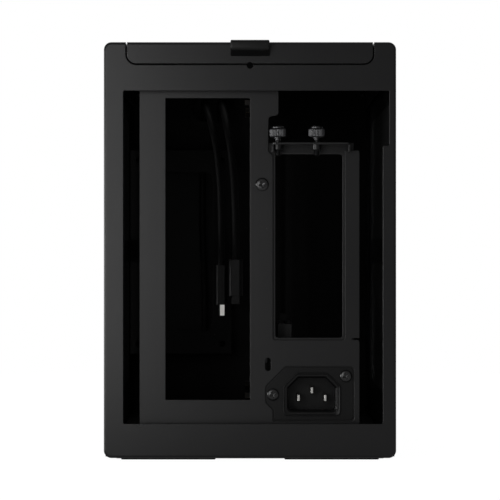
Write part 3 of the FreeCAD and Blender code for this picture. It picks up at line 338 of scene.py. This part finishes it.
def bracket_finish(name):
    """Powder-coated card bracket, with painted shade (darker and rougher) where it lies behind the plate's
    face, outside a rim round the opening.
    """
    finish = coated_finish(name, satin_black, roughness=0.30, peel_scale=1500.0, peel_depth=0.00006,
                           edge_wear_and_highlight=powder_edge_wear_and_highlight, specular=0.24)
    tree = finish.node_tree
    link = tree.links.new
    shader = tree.nodes["Principled BSDF"]
    place = add_node(tree, "ShaderNodeTexCoord").outputs["Object"]
    low, high = low_corner("gpu_bracket"), high_corner("gpu_bracket")
    plate_y = low_corner("rear_plate")[1]
    opening_left, border, crevice, face_depth = 12.0 * MM, 4.6 * MM, 0.65 * MM, 0.3 * MM
    inset = border + crevice
    rim = use_group(tree, inside_group, {"Low": (opening_left + crevice, -1, low[2] + inset),
                                         "High": (high[0] - inset, 1, high[2] - inset)})
    behind = use_group(tree, inside_group, {"Low": (-1, plate_y + face_depth, -1), "High": (1, 1, 1)})
    link(place, rim.inputs["Vector"])
    link(place, behind.inputs["Vector"])
    # Painted shade: darker colour and higher roughness where the bracket lies behind the plate's face, outside
    # the rim round the opening
    dull = math_node(tree, "SUBTRACT", behind.outputs["Mask"], rim.outputs["Mask"], clamp=True)
    for socket, value, kind in (("Base Color", (*painted_crevice_shade, 1), "RGBA"), ("Roughness", 0.62, "FLOAT")):
        mix = add_node(tree, "ShaderNodeMix", {"B": value}, data_type=kind)
        link(dull, mix.inputs["Factor"])
        link(shader.inputs[socket].links[0].from_socket, mix.inputs["A"])
        link(mix.outputs["Result"], shader.inputs[socket])
    return finish


skin, inner_roughness = 1.2 * MM, 0.52
shell_low = np.minimum(low_corner("rear_frame"), low_corner("left_side_panel"))
shell_high = np.maximum(high_corner("front_panel"), high_corner("right_side_panel"))
shell_inside = (shell_low + skin, shell_high - skin, inner_roughness)

finishes = {
    "shell": coated_finish(
        "shell_anodised_black", satin_black, roughness=0.29, peel_scale=2600.0, peel_depth=0.00003,
        edge_wear_and_highlight=(0.009, 0.009, 0.0095), edge_radius=0.0005, specular=0.24, inside=shell_inside),
    "chassis_steel": coated_finish(
        "chassis_powder_black", satin_black, roughness=0.30, peel_scale=1500.0, peel_depth=0.00006,
        edge_wear_and_highlight=powder_edge_wear_and_highlight, specular=0.24),
    "rubber": coated_finish(
        "foot_rubber", (0.005, 0.005, 0.005), roughness=0.75, peel_scale=900.0, peel_depth=0.00008,
        edge_wear_and_highlight=(0.008, 0.008, 0.008), dust=0.2, specular=0.2),
    "black_plastic": coated_finish(
        "moulded_black", (0.0025, 0.0025, 0.0027), roughness=0.36, peel_scale=1100.0, peel_depth=0.00004,
        edge_wear_and_highlight=(0.006, 0.006, 0.0063), specular=0.20),
    "steel_screws": metal_finish(
        "screw_black_zinc", zinc_black, zinc_worn, roughness=0.32, streak_scale=zinc_streaks),
    "plated_metal": metal_finish(
        "bright_nickel", (0.50, 0.49, 0.47), (0.60, 0.59, 0.57), roughness=0.22,
        streak_scale=(300.0, 1200.0, 1200.0)),
    "brass_parts": metal_finish(
        "blackened_brass", (0.020, 0.019, 0.018), (0.20, 0.16, 0.09), roughness=0.36,
        streak_scale=(1500.0, 200.0, 200.0), edge_radius=0.0001),
    "aluminium_parts": metal_finish(
        "turned_aluminium", (0.45, 0.45, 0.46), (0.7, 0.7, 0.7), roughness=0.32, streak_scale=turned_streaks),
    "circuit_board": board_finish("black_solder_mask", (0.008, 0.011, 0.009), (0.018, 0.022, 0.018)),
    "cable_jacket": coated_finish(
        "cable_jacket_black", (0.0040, 0.0040, 0.0042), roughness=0.55, peel_scale=700.0, peel_depth=0.00005,
        edge_wear_and_highlight=(0.007, 0.007, 0.007), dust=0.15, specular=0.14),
}

# Finishes of single nodes and new pieces, where they differ from their slot's

# Lighter copy of the chassis powder coat for the base tray, top rails, spine and riser bracket inside the case:
# painted light
lit_inner_steel = coated_finish(
    "chassis_powder_painted_light", (0.0090, 0.0090, 0.0094), roughness=0.55, peel_scale=1500.0, peel_depth=0.00006,
    edge_wear_and_highlight=(0.020, 0.020, 0.021), drift=0.3, dust=0.15, specular=0.14)
# Darker copy of the chassis powder coat for the front bulkhead and PSU bracket deep inside: painted shade
shaded_deep_steel = coated_finish(
    "chassis_powder_painted_shade", (0.0020, 0.0020, 0.0021), roughness=0.55, peel_scale=1500.0, peel_depth=0.00006,
    edge_wear_and_highlight=(0.008, 0.008, 0.0083), drift=0.3, dust=0.15, specular=0.12)
stud_black = metal_finish(
    "stud_black_anodised", (0.014, 0.014, 0.0145), (0.06, 0.06, 0.06), roughness=0.38,
    streak_scale=turned_streaks)
inlet_black = coated_finish(
    "inlet_moulded_black", (0.0020, 0.0020, 0.0021), roughness=0.34, peel_scale=1100.0, peel_depth=0.00003,
    edge_wear_and_highlight=(0.008, 0.008, 0.0083), edge_radius=0.0003, specular=0.15)
screw_black = coated_finish(
    "screw_black_oxide", (0.0040, 0.0040, 0.0042), roughness=0.23, peel_scale=2200.0, peel_depth=0.00002,
    edge_wear_and_highlight=(0.012, 0.012, 0.013), edge_radius=0.00010, specular=0.38)
# The hand screws are darkened from just under the shelf's top downwards: painted shade under the shelf
shelf_top, shade_drop = high_corner("gpu_bracket")[2], 0.6 * MM
hand_screw_steel = metal_finish(
    "hand_screw_zinc", zinc_black, zinc_worn, roughness=0.32, streak_scale=zinc_streaks,
    dark_below=shelf_top - shade_drop)
tab_plastic = coated_finish(
    "tab_black_nylon", (0.0015, 0.0015, 0.0016), roughness=0.36, peel_scale=900.0, peel_depth=0.00003,
    edge_wear_and_highlight=(0.004, 0.004, 0.0042), edge_radius=0.0003, specular=0.17)
plug_left, _, plug_foot = low_corner("usb_c_plug")
tip_height, tip_inset = 6.5 * MM, 2.3 * MM

own_finishes = {
    # Painted light: these inner parts take the lighter copy of the chassis coat
    "base_tray": lit_inner_steel, "top_rail_left": lit_inner_steel, "top_rail_right": lit_inner_steel,
    "spine_plate": lit_inner_steel, "riser_bracket": lit_inner_steel,
    # Painted shade: the deep inner parts take the darker copy of the chassis coat
    "front_bulkhead": shaded_deep_steel, "psu_bracket": shaded_deep_steel,
    "top_panel_studs": stud_black, "left_panel_studs": stud_black, "right_panel_studs": stud_black,
    "usb_c_plug": plug_finish(
        "header_plug_two_tone", plug_foot + tip_height, plug_left + tip_inset,
        body_colour=(0.003, 0.003, 0.0032), tip_colour=(0.80, 0.79, 0.76)),
    "inlet_socket": inlet_black,
    "gpu_bracket": bracket_finish("card_bracket_black"),
}

for entry in frame["record"]["subparts"]:
    node = nodes[entry["node"]]
    node.data.materials.clear()
    node.data.materials.append(own_finishes.get(entry["node"], finishes[entry["material_slot"]]))


# Pieces worked out as surfaces

def surface(name, points, finish, closed_u=False, closed_v=False, smooth_angle=40.0):
    """Mesh of quads over a grid of points (rows along u, columns along v), joined round where it closes."""
    rows, columns = points.shape[:2]
    u = np.arange(rows if closed_u else rows - 1)
    v = np.arange(columns if closed_v else columns - 1)
    u0, v0 = (g.ravel() for g in np.meshgrid(u, v, indexing="ij"))
    u1, v1 = (u0 + 1) % rows, (v0 + 1) % columns
    quads = np.stack([u0 * columns + v0, u1 * columns + v0, u1 * columns + v1, u0 * columns + v1], axis=1)
    mesh = bpy.data.meshes.new(name)
    mesh.from_pydata(points.reshape(-1, 3).tolist(), [], quads.tolist())
    mesh.materials.append(finish)
    mesh.polygons.foreach_set("use_smooth", np.ones(len(mesh.polygons), dtype=bool))
    mesh.set_sharp_from_angle(angle=math.radians(smooth_angle))
    mesh.update()
    piece = bpy.data.objects.new(name, mesh)
    bpy.context.scene.collection.objects.link(piece)
    return piece


def join_pieces(name, pieces):
    """One object from several new ones."""
    with bpy.context.temp_override(active_object=pieces[0], selected_editable_objects=pieces):
        bpy.ops.object.join()
    pieces[0].name = name
    return pieces[0]


def weld(piece):
    """Merges the doubled points of seams and poles and turns all faces outwards."""
    shape = bmesh.new()
    shape.from_mesh(piece.data)
    bmesh.ops.remove_doubles(shape, verts=shape.verts, dist=1e-7)
    bmesh.ops.recalc_face_normals(shape, faces=shape.faces)
    shape.to_mesh(piece.data)
    shape.free()


def turned_surface(name, profile, turns, radius_change, axis_change, to_frame, finish, smooth_angle=40.0):
    """Lathe surface: profile points (radius, height) turned about an axis, closed at both poles.

    The radius at (height, angle) is the profile's plus radius_change, the height is the profile's plus
    axis_change; to_frame maps the two cross directions and the height to the frame.
    """
    angle = np.linspace(0, 2 * math.pi, turns, endpoint=False)
    radius, height = profile[:, :1], profile[:, 1:]
    r = np.maximum(radius + radius_change(radius, height, angle), 0)
    h = height + axis_change(r, height, angle)
    points = to_frame(r * np.cos(angle), r * np.sin(angle), h)
    piece = surface(name, points, finish, closed_v=True, smooth_angle=smooth_angle)
    weld(piece)
    return piece


def along(points, spacing):
    """Points along a line of corners, about spacing apart; every corner is kept."""
    points = np.asarray(points, dtype=float)
    pieces = [np.linspace(a, b, max(2, int(np.linalg.norm(b - a) / spacing) + 1))[:-1]
              for a, b in zip(points, points[1:])]
    return np.vstack(pieces + [points[-1:]])


inlet_head_radius = 3.2 * MM


def pan_screw(name, centre_x, centre_z, face_y, head_radius, head_height, shank_radius, shank_length):
    """Pan-head screw driven along +Y with a cross recess.

    The crown is a superellipse of exponent 2.6 in radius; two crossing troughs with sloped walls are sunk
    into it, deepest at the middle.
    """
    side, rise, exponent = 0.35 * head_height, 0.65 * head_height, 2.6
    t = np.linspace(0, 1, 44)
    dome = np.stack([head_radius * t, side + rise * (1 - t ** exponent) ** (1 / exponent)], axis=1)
    rest = along([(head_radius, side), (head_radius, 0), (shank_radius, 0), (shank_radius, -shank_length),
                  (0, -shank_length)], 0.6 * MM)
    profile = np.vstack([dome, rest])
    arm, width, wall, depth = 0.52 * head_radius, 0.12 * head_radius, 0.03 * head_radius, 0.90 * head_height
    tilt = math.radians(24)

    def ramp(distance):
        """Share of the depth on a sloped wall: 0 at its top, 1 from its foot inwards."""
        return np.clip(distance / wall, 0, 1)

    def recess(r, height, angle):
        """Change of height on the crown: down by the deeper trough, less so away from the middle."""
        across, down = np.abs(r * np.cos(angle)), np.abs(r * np.sin(angle))
        trough = np.maximum(ramp(width + wall - across) * ramp(arm - down),
                            ramp(width + wall - down) * ramp(arm - across))
        return np.where(height > 0.3 * head_height, -depth * trough * (1 - 0.4 * r / head_radius), 0)

    def to_frame(u, v, h):
        """Cross directions turned by the tilt in the plane of the plate, height towards the rear."""
        x = centre_x + u * math.cos(tilt) - v * math.sin(tilt)
        z = centre_z + u * math.sin(tilt) + v * math.cos(tilt)
        return np.stack([x, face_y - h, z], axis=2)

    return turned_surface(name, profile, 160, lambda r, h, a: 0 * a, recess, to_frame, screw_black)


def knurled_screw(name, node):
    """Hand screw: low dome, straight knurl of round flutes on a chamfered head, short waist, threaded shank.

    The dome falls with the fourth power of the radius. The head's radius falls by one less a rectified sine
    of the angle, faded out over the chamfers. The thread's radius falls by a triangle wave of height and angle.
    """
    low, high = low_corner(node), high_corner(node)
    centre = (low + high) / 2
    radius, total = (high[0] - low[0]) / 2, high[2] - low[2]
    head, cap, crown, chamfer = 6.1 * MM, 1.3 * MM, 0.74 * radius, 0.6 * MM
    flutes, flute_depth = 30, 0.32 * MM
    waist, waist_end, shank, shank_start = 0.52 * radius, -head - 0.4 * MM, 1.5 * MM, -head - 0.6 * MM
    pitch, thread_depth, thread_start, point = 0.5 * MM, 0.16 * MM, -head - 1.5 * MM, 0.3 * MM
    t = np.linspace(0, 1, 12)
    dome = np.stack([crown * t, -0.5 * cap * t ** 4], axis=1)
    rest = along([(crown, -0.5 * cap), (crown, -cap), (radius - chamfer, -cap), (radius, -cap - chamfer),
                  (radius, chamfer - head), (radius - chamfer, -head), (waist, -head), (waist, waist_end),
                  (shank, shank_start), (shank, thread_start)], 0.35 * MM)
    thread = along([(shank, thread_start), (shank, point - total), (0.8 * shank, -total), (0, -total)],
                   0.09 * MM)
    profile = np.vstack([dome[:-1], rest[:-1], thread])

    def flute(r, height, angle):
        """Change of radius: the knurl's flutes on the head's side, the groove of the thread on the shank."""
        on_side = np.clip((r - 0.80 * radius) / (0.12 * radius), 0, 1) * (height > -head - 0.1 * MM)
        on_thread = (height < thread_start) * (r > 0.7 * shank)
        knurl = 1 - np.abs(np.sin(flutes * angle / 2))
        groove = np.abs((height / pitch + angle / (2 * math.pi)) % 1 - 0.5) * 2
        return -flute_depth * on_side * knurl - thread_depth * on_thread * groove

    def to_frame(u, v, h):
        """Cross directions level, height counted from the top of the screw."""
        return np.stack([centre[0] + u, centre[1] + v, high[2] + h + 0 * u], axis=2)

    return turned_surface(name, profile, flutes * 10, flute, lambda r, h, a: 0 * a, to_frame,
                          hand_screw_steel, smooth_angle=50.0)


def dress_screws():
    """Turned screws in place of the plate screw, the two inlet screws and the two hand screws."""
    plate_head_radius, head_height, shank_radius, shank_length = 3.5 * MM, 2.2 * MM, 1.5 * MM, 4 * MM
    low, high = low_corner("plate_screw"), high_corner("plate_screw")
    centre = (low + high) / 2
    piece = pan_screw("plate_screw_turned", centre[0], centre[2], low[1] + head_height, plate_head_radius,
                      head_height, shank_radius, shank_length)
    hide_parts("plate_screw")
    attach(piece, "spine")
    low, high = low_corner("inlet_screws"), high_corner("inlet_screws")
    places = ((low[0] + inlet_head_radius, low[2] + inlet_head_radius),
              (high[0] - inlet_head_radius, high[2] - inlet_head_radius))
    pair = [pan_screw("inlet_screw_%d" % i, x, z, low[1] + head_height, inlet_head_radius, head_height,
                      shank_radius, shank_length) for i, (x, z) in enumerate(places)]
    piece = join_pieces("inlet_screws_turned", pair)
    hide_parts("inlet_screws")
    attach(piece, "spine")
    for number in (1, 2):
        piece = knurled_screw("hand_screw_%d" % number, "gpu_thumbscrew_%d" % number)
        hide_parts("gpu_thumbscrew_%d" % number)
        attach(piece, "thumbscrew_%d" % number)


def finger_tab():
    """Moulded finger tab over the rear lip: one rounded profile carried across, drawn in at both ends.

    The profile runs round brow, face, chin, sloping underside and back. At a place x it is scaled about its
    middle by one less the share that a quarter circle takes off near the ends, and closes on a pole.
    """
    low, high = low_corner("pull_tab"), high_corner("pull_tab")
    lip_y, lip_top = low_corner("top_panel")[1], high_corner("top_panel")[2]
    half = (high[0] - low[0]) / 2
    edge, brow, chin, fold, spacing = 0.7 * MM, 1.4 * MM, 2.6 * MM, 1.4 * MM, 0.6 * MM
    face_height, toe_depth, toe_height, lead_in = 4.8 * MM, 0.4 * MM, 0.2 * MM, 0.8 * MM

    def arc(centre_y, centre_z, radius, start, end, count):
        """Points (y, z) on a circle between two angles in degrees."""
        a = np.radians(np.linspace(start, end, count))
        return np.stack([centre_y + radius * np.cos(a), centre_z + radius * np.sin(a)], axis=1)

    face_low, toe_y = high[2] - face_height, lip_y - toe_depth
    slope = math.degrees(math.atan2(face_low - low[2], toe_y - low[1]))
    reach = chin * math.tan(math.radians(90 - slope) / 2)
    chin_arc = arc(low[1] + chin, face_low + reach, chin, 180, 270 - slope, 14)
    underside = along([chin_arc[-1], (toe_y, low[2]), (lip_y, low[2] + toe_height), (lip_y, lip_top - fold)],
                      spacing)
    top_side = along([(lip_y + fold, lip_top), (high[1], lip_top), (high[1] - lead_in, high[2]),
                      (low[1] + brow, high[2])], spacing)
    profile = np.vstack([arc(low[1] + brow, high[2] - brow, brow, 90, 180, 10), chin_arc, underside[1:],
                         arc(lip_y + fold, lip_top - fold, fold, 180, 90, 8)[1:], top_side[1:-1]])
    bend = np.linspace(0, math.pi / 2, 9)
    x = np.concatenate([-half + edge * (1 - np.cos(bend)), half - edge * (1 - np.cos(bend[::-1]))])
    drawn = np.concatenate([edge * (1 - np.sin(bend)), edge * (1 - np.sin(bend[::-1]))])
    core = np.array([(low[1] + lip_y) / 2, (low[2] + high[2]) / 2])
    spread = np.linalg.norm(profile - core, axis=1)
    scale = 1 - drawn[:, None] / spread
    points = np.stack([np.repeat(x[:, None], len(profile), axis=1),
                       core[0] + (profile[:, 0] - core[0]) * scale,
                       core[1] + (profile[:, 1] - core[1]) * scale], axis=2)
    poles = [np.broadcast_to((place, *core), (1, len(profile), 3)) for place in (x[0], x[-1])]
    piece = surface("finger_tab", np.concatenate([poles[0], points, poles[1]]), tab_plastic,
                    closed_v=True, smooth_angle=50.0)
    weld(piece)
    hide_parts("pull_tab")
    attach(piece, "top_panel")


def rounded_line(corners, radius, count=8):
    """Closed line round corners (x, z), each rounded by a quadratic curve between two tangent points."""
    corners = np.asarray(corners, dtype=float)
    before, after = np.roll(corners, 1, axis=0) - corners, np.roll(corners, -1, axis=0) - corners
    before /= np.linalg.norm(before, axis=1)[:, None]
    after /= np.linalg.norm(after, axis=1)[:, None]
    half = np.arccos(np.clip((before * after).sum(axis=1), -1, 1)) / 2
    reach = (radius / np.tan(half))[:, None, None]
    t = np.linspace(0, 1, count)[None, :, None]
    start, middle, end = (corners[:, None] + before[:, None] * reach, corners[:, None],
                          corners[:, None] + after[:, None] * reach)
    return ((1 - t) ** 2 * start + 2 * t * (1 - t) * middle + t ** 2 * end).reshape(-1, 2)


def carried_round(name, outline, section, plane_y, finish):
    """Closed ring: a small section carried round an outline.

    outline(grow) gives the line (x, z) of each corner (grow, depth) of the section, which is in millimetres.
    """
    rings = []
    for grow, depth in section:
        line = outline(grow * MM)
        rings.append(np.column_stack([line[:, 0], np.full(len(line), plane_y + depth * MM), line[:, 1]]))
    piece = surface(name, np.array(rings), finish, closed_u=True, closed_v=True)
    weld(piece)
    return piece


def inlet_gasket():
    """Soft gasket between the inlet's flange and the stamped recess: a low section of six corners.

    Each corner of the section is a copy of the flange's outline, grown by an offset and set at a depth.
    """
    low, high = low_corner("inlet_socket"), high_corner("inlet_socket")
    plate_y, ear_z = low_corner("rear_plate")[1], low_corner("inlet_screws")[2] + inlet_head_radius
    ear, cut, corner_radius = 4.4 * MM, 3.8 * MM, 1.6 * MM

    def flange_line(grow):
        """Outline of the flange, grown: a box drawn out on its left to an ear with sloped sides."""
        left, right, bottom, top = low[0] - grow, high[0] + grow, low[2] - grow, high[2] + grow
        bevel = top - ear_z - ear
        return rounded_line([(left + cut, bottom), (right, bottom), (right, top), (left + bevel, top),
                             (left, ear_z + ear), (left, ear_z - ear), (left + cut, ear_z - ear - cut)],
                            corner_radius)

    section = ((0.64, 0.08), (0.40, 0.22), (0.05, 0.26), (-0.06, 0.32), (-0.06, 0.60), (0.20, 0.90))
    piece = carried_round("inlet_gasket", flange_line, section, plate_y, finishes["rubber"])
    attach(piece, "spine")


def inlet_rim():
    """Low bead moulded round the inlet's mouth: a ledge, a step facing inwards, a flat top, a straight side.

    Each corner of the section is a copy of the mouth's outline, grown by an offset and set at a depth. The
    chamfers grow by two less the root of two, so that their slopes move out as far as the sides.
    """
    centre = (low_corner("inlet_pins") + high_corner("inlet_pins")) / 2
    half_width, half_height, corner_radius = 12.3 * MM, 8.6 * MM, 2.4 * MM
    chamfer, chamfer_growth = 5.4 * MM, 0.586

    def mouth_line(grow):
        """Outline of the mouth, grown: a box with two chamfered upper corners."""
        w, h, cut = half_width + grow, half_height + grow, chamfer + chamfer_growth * grow
        corners = np.array([(-w, -h), (w, -h), (w, h - cut), (w - cut, h), (cut - w, h), (-w, h - cut)])
        return rounded_line(corners + centre[[0, 2]], corner_radius)

    section = ((2.70, 1.25), (2.70, -0.25), (2.55, -0.40), (2.25, -0.40), (1.86, -0.02), (1.15, -0.02),
               (1.15, 1.25))
    piece = carried_round("inlet_rim", mouth_line, section, low_corner("inlet_socket")[1], inlet_black)
    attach(piece, "spine")


dress_screws()
finger_tab()
inlet_gasket()
inlet_rim()


# Header cables: the routes of the solids, as smooth splines

bulkhead_y = low_corner("front_bulkhead")[1]
usb_c_route = [(-28.0, 4.3, 38.0), (-28.0, 4.3, 80.0), (-30.0, 5.6, 124.0), (-29.2, 6.0, 168.0),
               (-29.0, 6.2, 200.0), (-28.0, -21.5, 200.0), (-24.5, -40.0, 190.0), (-19.5, -49.0, 168.0),
               (-17.3, -51.5, 136.0), (-17.3, -51.5, 100.5)]
usb_a_route = [(-12.0, 4.3, 38.0), (-12.0, 4.3, 82.0), (-14.0, 5.6, 127.0), (-18.0, 5.8, 169.0),
               (-18.5, 6.0, 200.0), (-17.5, -24.5, 200.2), (-14.8, -46.0, 189.0), (-10.6, -55.5, 165.0),
               (-8.6, -59.0, 134.0), (-8.6, -59.0, 104.0)]


def header_cable(name, route, radius, node):
    """Cable on a quadratic spline over the control points of its route; their Y counts from the bulkhead."""
    points = np.array(route) * MM + np.array([0, bulkhead_y, 0])
    curve = bpy.data.curves.new(name, "CURVE")
    curve.dimensions = "3D"
    curve.bevel_depth = radius
    curve.bevel_resolution = 5
    curve.use_fill_caps = True
    line = curve.splines.new("NURBS")
    line.points.add(len(points) - 1)
    line.points.foreach_set("co", np.column_stack([points, np.ones(len(points))]).ravel())
    line.order_u = 3
    line.use_endpoint_u = True
    line.resolution_u = 10
    curve.materials.append(finishes["cable_jacket"])
    piece = bpy.data.objects.new(name, curve)
    bpy.context.scene.collection.objects.link(piece)
    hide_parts(node)
    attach(piece, "chassis")


header_cable("usb_c_lead", usb_c_route, radius=2.0 * MM, node="usb_c_cable")
header_cable("usb_a_lead", usb_a_route, radius=2.2 * MM, node="usb_a_cable")


# Studio

def seen_white(tree, mirror_share):
    """Share of white: 1 to the camera and through clear pieces, mirror_share in reflections, else 0."""
    rays = add_node(tree, "ShaderNodeLightPath")
    glossy = math_node(tree, "MULTIPLY", rays.outputs["Is Glossy Ray"], mirror_share)
    mirrored = math_node(tree, "MAXIMUM", glossy, rays.outputs["Is Transmission Ray"])
    return math_node(tree, "MAXIMUM", rays.outputs["Is Camera Ray"], mirrored)


def studio_white(name, glow_share, glow, mirror_share):
    """Pale matt sheet, white to the camera and by mirror_share in reflections, that still takes shadows."""
    finish = bpy.data.materials.new(name)
    finish.use_nodes = True
    tree = finish.node_tree
    tree.nodes.clear()
    link = tree.links.new
    out = add_node(tree, "ShaderNodeOutputMaterial")
    matt = add_node(tree, "ShaderNodeBsdfDiffuse", {"Color": (0.75, 0.75, 0.75, 1)})
    white = add_node(tree, "ShaderNodeEmission", {"Color": (1, 1, 1, 1), "Strength": glow})
    blend = add_node(tree, "ShaderNodeMixShader")
    link(math_node(tree, "MULTIPLY", seen_white(tree, mirror_share), glow_share), blend.inputs["Fac"])
    link(matt.outputs["BSDF"], blend.inputs[1])
    link(white.outputs["Emission"], blend.inputs[2])
    link(blend.outputs["Shader"], out.inputs["Surface"])
    return finish


def studio_sheets():
    """Flat floor, its patch under the case that takes the full shadow, and a backdrop beyond the case."""
    half_floor, floor_rear, floor_front = 0.9, -0.6, 1.0
    half_back, back_y, back_low, back_high = 2.5, 3.2, -0.5, 2.5
    inset, lift = 6 * MM, 0.2 * MM
    (left, rear, _), (right, front, _) = low_corner("base_tray") + inset, high_corner("base_tray") - inset
    floor = np.array([[(x, y, 0) for y in (floor_rear, floor_front)] for x in (-half_floor, half_floor)])
    patch = np.array([[(x, y, lift) for y in (rear, front)] for x in (left, right)])
    back = np.array([[(x, back_y, z) for z in (back_low, back_high)] for x in (-half_back, half_back)])
    surface("studio_floor", floor, studio_white("floor_white", 0.9, 1.085, 0.3))
    surface("floor_in_shade", patch, studio_white("floor_matt", 0.0, 1.0, 0.0))
    surface("studio_backdrop", back, studio_white("backdrop_white", 1.0, 1.0, 1.0))


def studio_world():
    """White to the camera and by a small share in reflections; else a grey room, dim to left and right."""
    world = bpy.data.worlds.new("studio_room")
    bpy.context.scene.world = world
    world.use_nodes = True
    tree = world.node_tree
    tree.nodes.clear()
    link = tree.links.new
    out = add_node(tree, "ShaderNodeOutputWorld")
    room = add_node(tree, "ShaderNodeBackground", {"Color": (1, 1, 1, 1)})
    towards = add_node(tree, "ShaderNodeSeparateXYZ")
    link(add_node(tree, "ShaderNodeTexCoord").outputs["Generated"], towards.inputs["Vector"])
    behind_camera, beyond_case = (-0.40, -0.80, 0.355), (-0.20, 0.30, 0.50)
    shares = []
    for start, end, light in (behind_camera, beyond_case):
        share = add_node(tree, "ShaderNodeMapRange", {"From Min": start, "From Max": end, "To Min": 0.0,
                                                      "To Max": light}, interpolation_type="SMOOTHSTEP")
        link(towards.outputs["Y"], share.inputs["Value"])
        shares.append(share.outputs["Result"])
    link(math_node(tree, "ADD", shares[0], shares[1]), room.inputs["Strength"])
    white = add_node(tree, "ShaderNodeBackground", {"Color": (1, 1, 1, 1), "Strength": 1.0})
    blend = add_node(tree, "ShaderNodeMixShader")
    link(seen_white(tree, mirror_share=0.1), blend.inputs["Fac"])
    link(room.outputs["Background"], blend.inputs[1])
    link(white.outputs["Background"], blend.inputs[2])
    link(blend.outputs["Shader"], out.inputs["Surface"])


def look_at(thing, aim):
    """Turns a lamp or camera so that its -Z points at aim, with Y up."""
    thing.rotation_euler = (Vector(aim) - Vector(thing.location)).to_track_quat("-Z", "Y").to_euler()


def soft_box(name, place, aim, width, height, power):
    """Rectangular lamp at place, facing aim."""
    lamp = bpy.data.lights.new(name, "AREA")
    lamp.shape = "RECTANGLE"
    lamp.size, lamp.size_y, lamp.energy = width, height, power
    stand = bpy.data.objects.new(name, lamp)
    stand.location = place
    look_at(stand, aim)
    bpy.context.scene.collection.objects.link(stand)


def photo_camera():
    """Long lens, square to the rear: 1.7 m from the rear plane, where the picture is 261.5 mm across."""
    rear_y = low_corner("rear_frame")[1]
    distance, field, height, sensor = 1.7, 0.2615, 0.1097, 36.0
    lens = bpy.data.cameras.new("rear_camera")
    lens.sensor_width = sensor
    lens.lens = sensor * distance / field
    camera = bpy.data.objects.new("rear_camera", lens)
    camera.location = (0, rear_y - distance, height)
    look_at(camera, (0, 0, height))
    bpy.context.scene.collection.objects.link(camera)
    bpy.context.scene.camera = camera


studio_sheets()
studio_world()
soft_box("key_left", (-0.18, -0.60, 0.153), aim=(0.05, -0.16, 0.195), width=0.24, height=0.286, power=0.82)
soft_box("side_left", (-0.80, -0.30, 0.11), aim=(0, -0.165, 0.11), width=0.7, height=0.2, power=4.5)
soft_box("front_right", (0.80, 0.90, 0.55), aim=(0, 0.10, 0.10), width=1.0, height=1.0, power=2.5)
soft_box("above", (0.10, 0.30, 1.30), aim=(0, 0.05, 0.20), width=1.0, height=1.0, power=4.0)
photo_camera()
bpy.context.scene.view_settings.view_transform = "Standard"
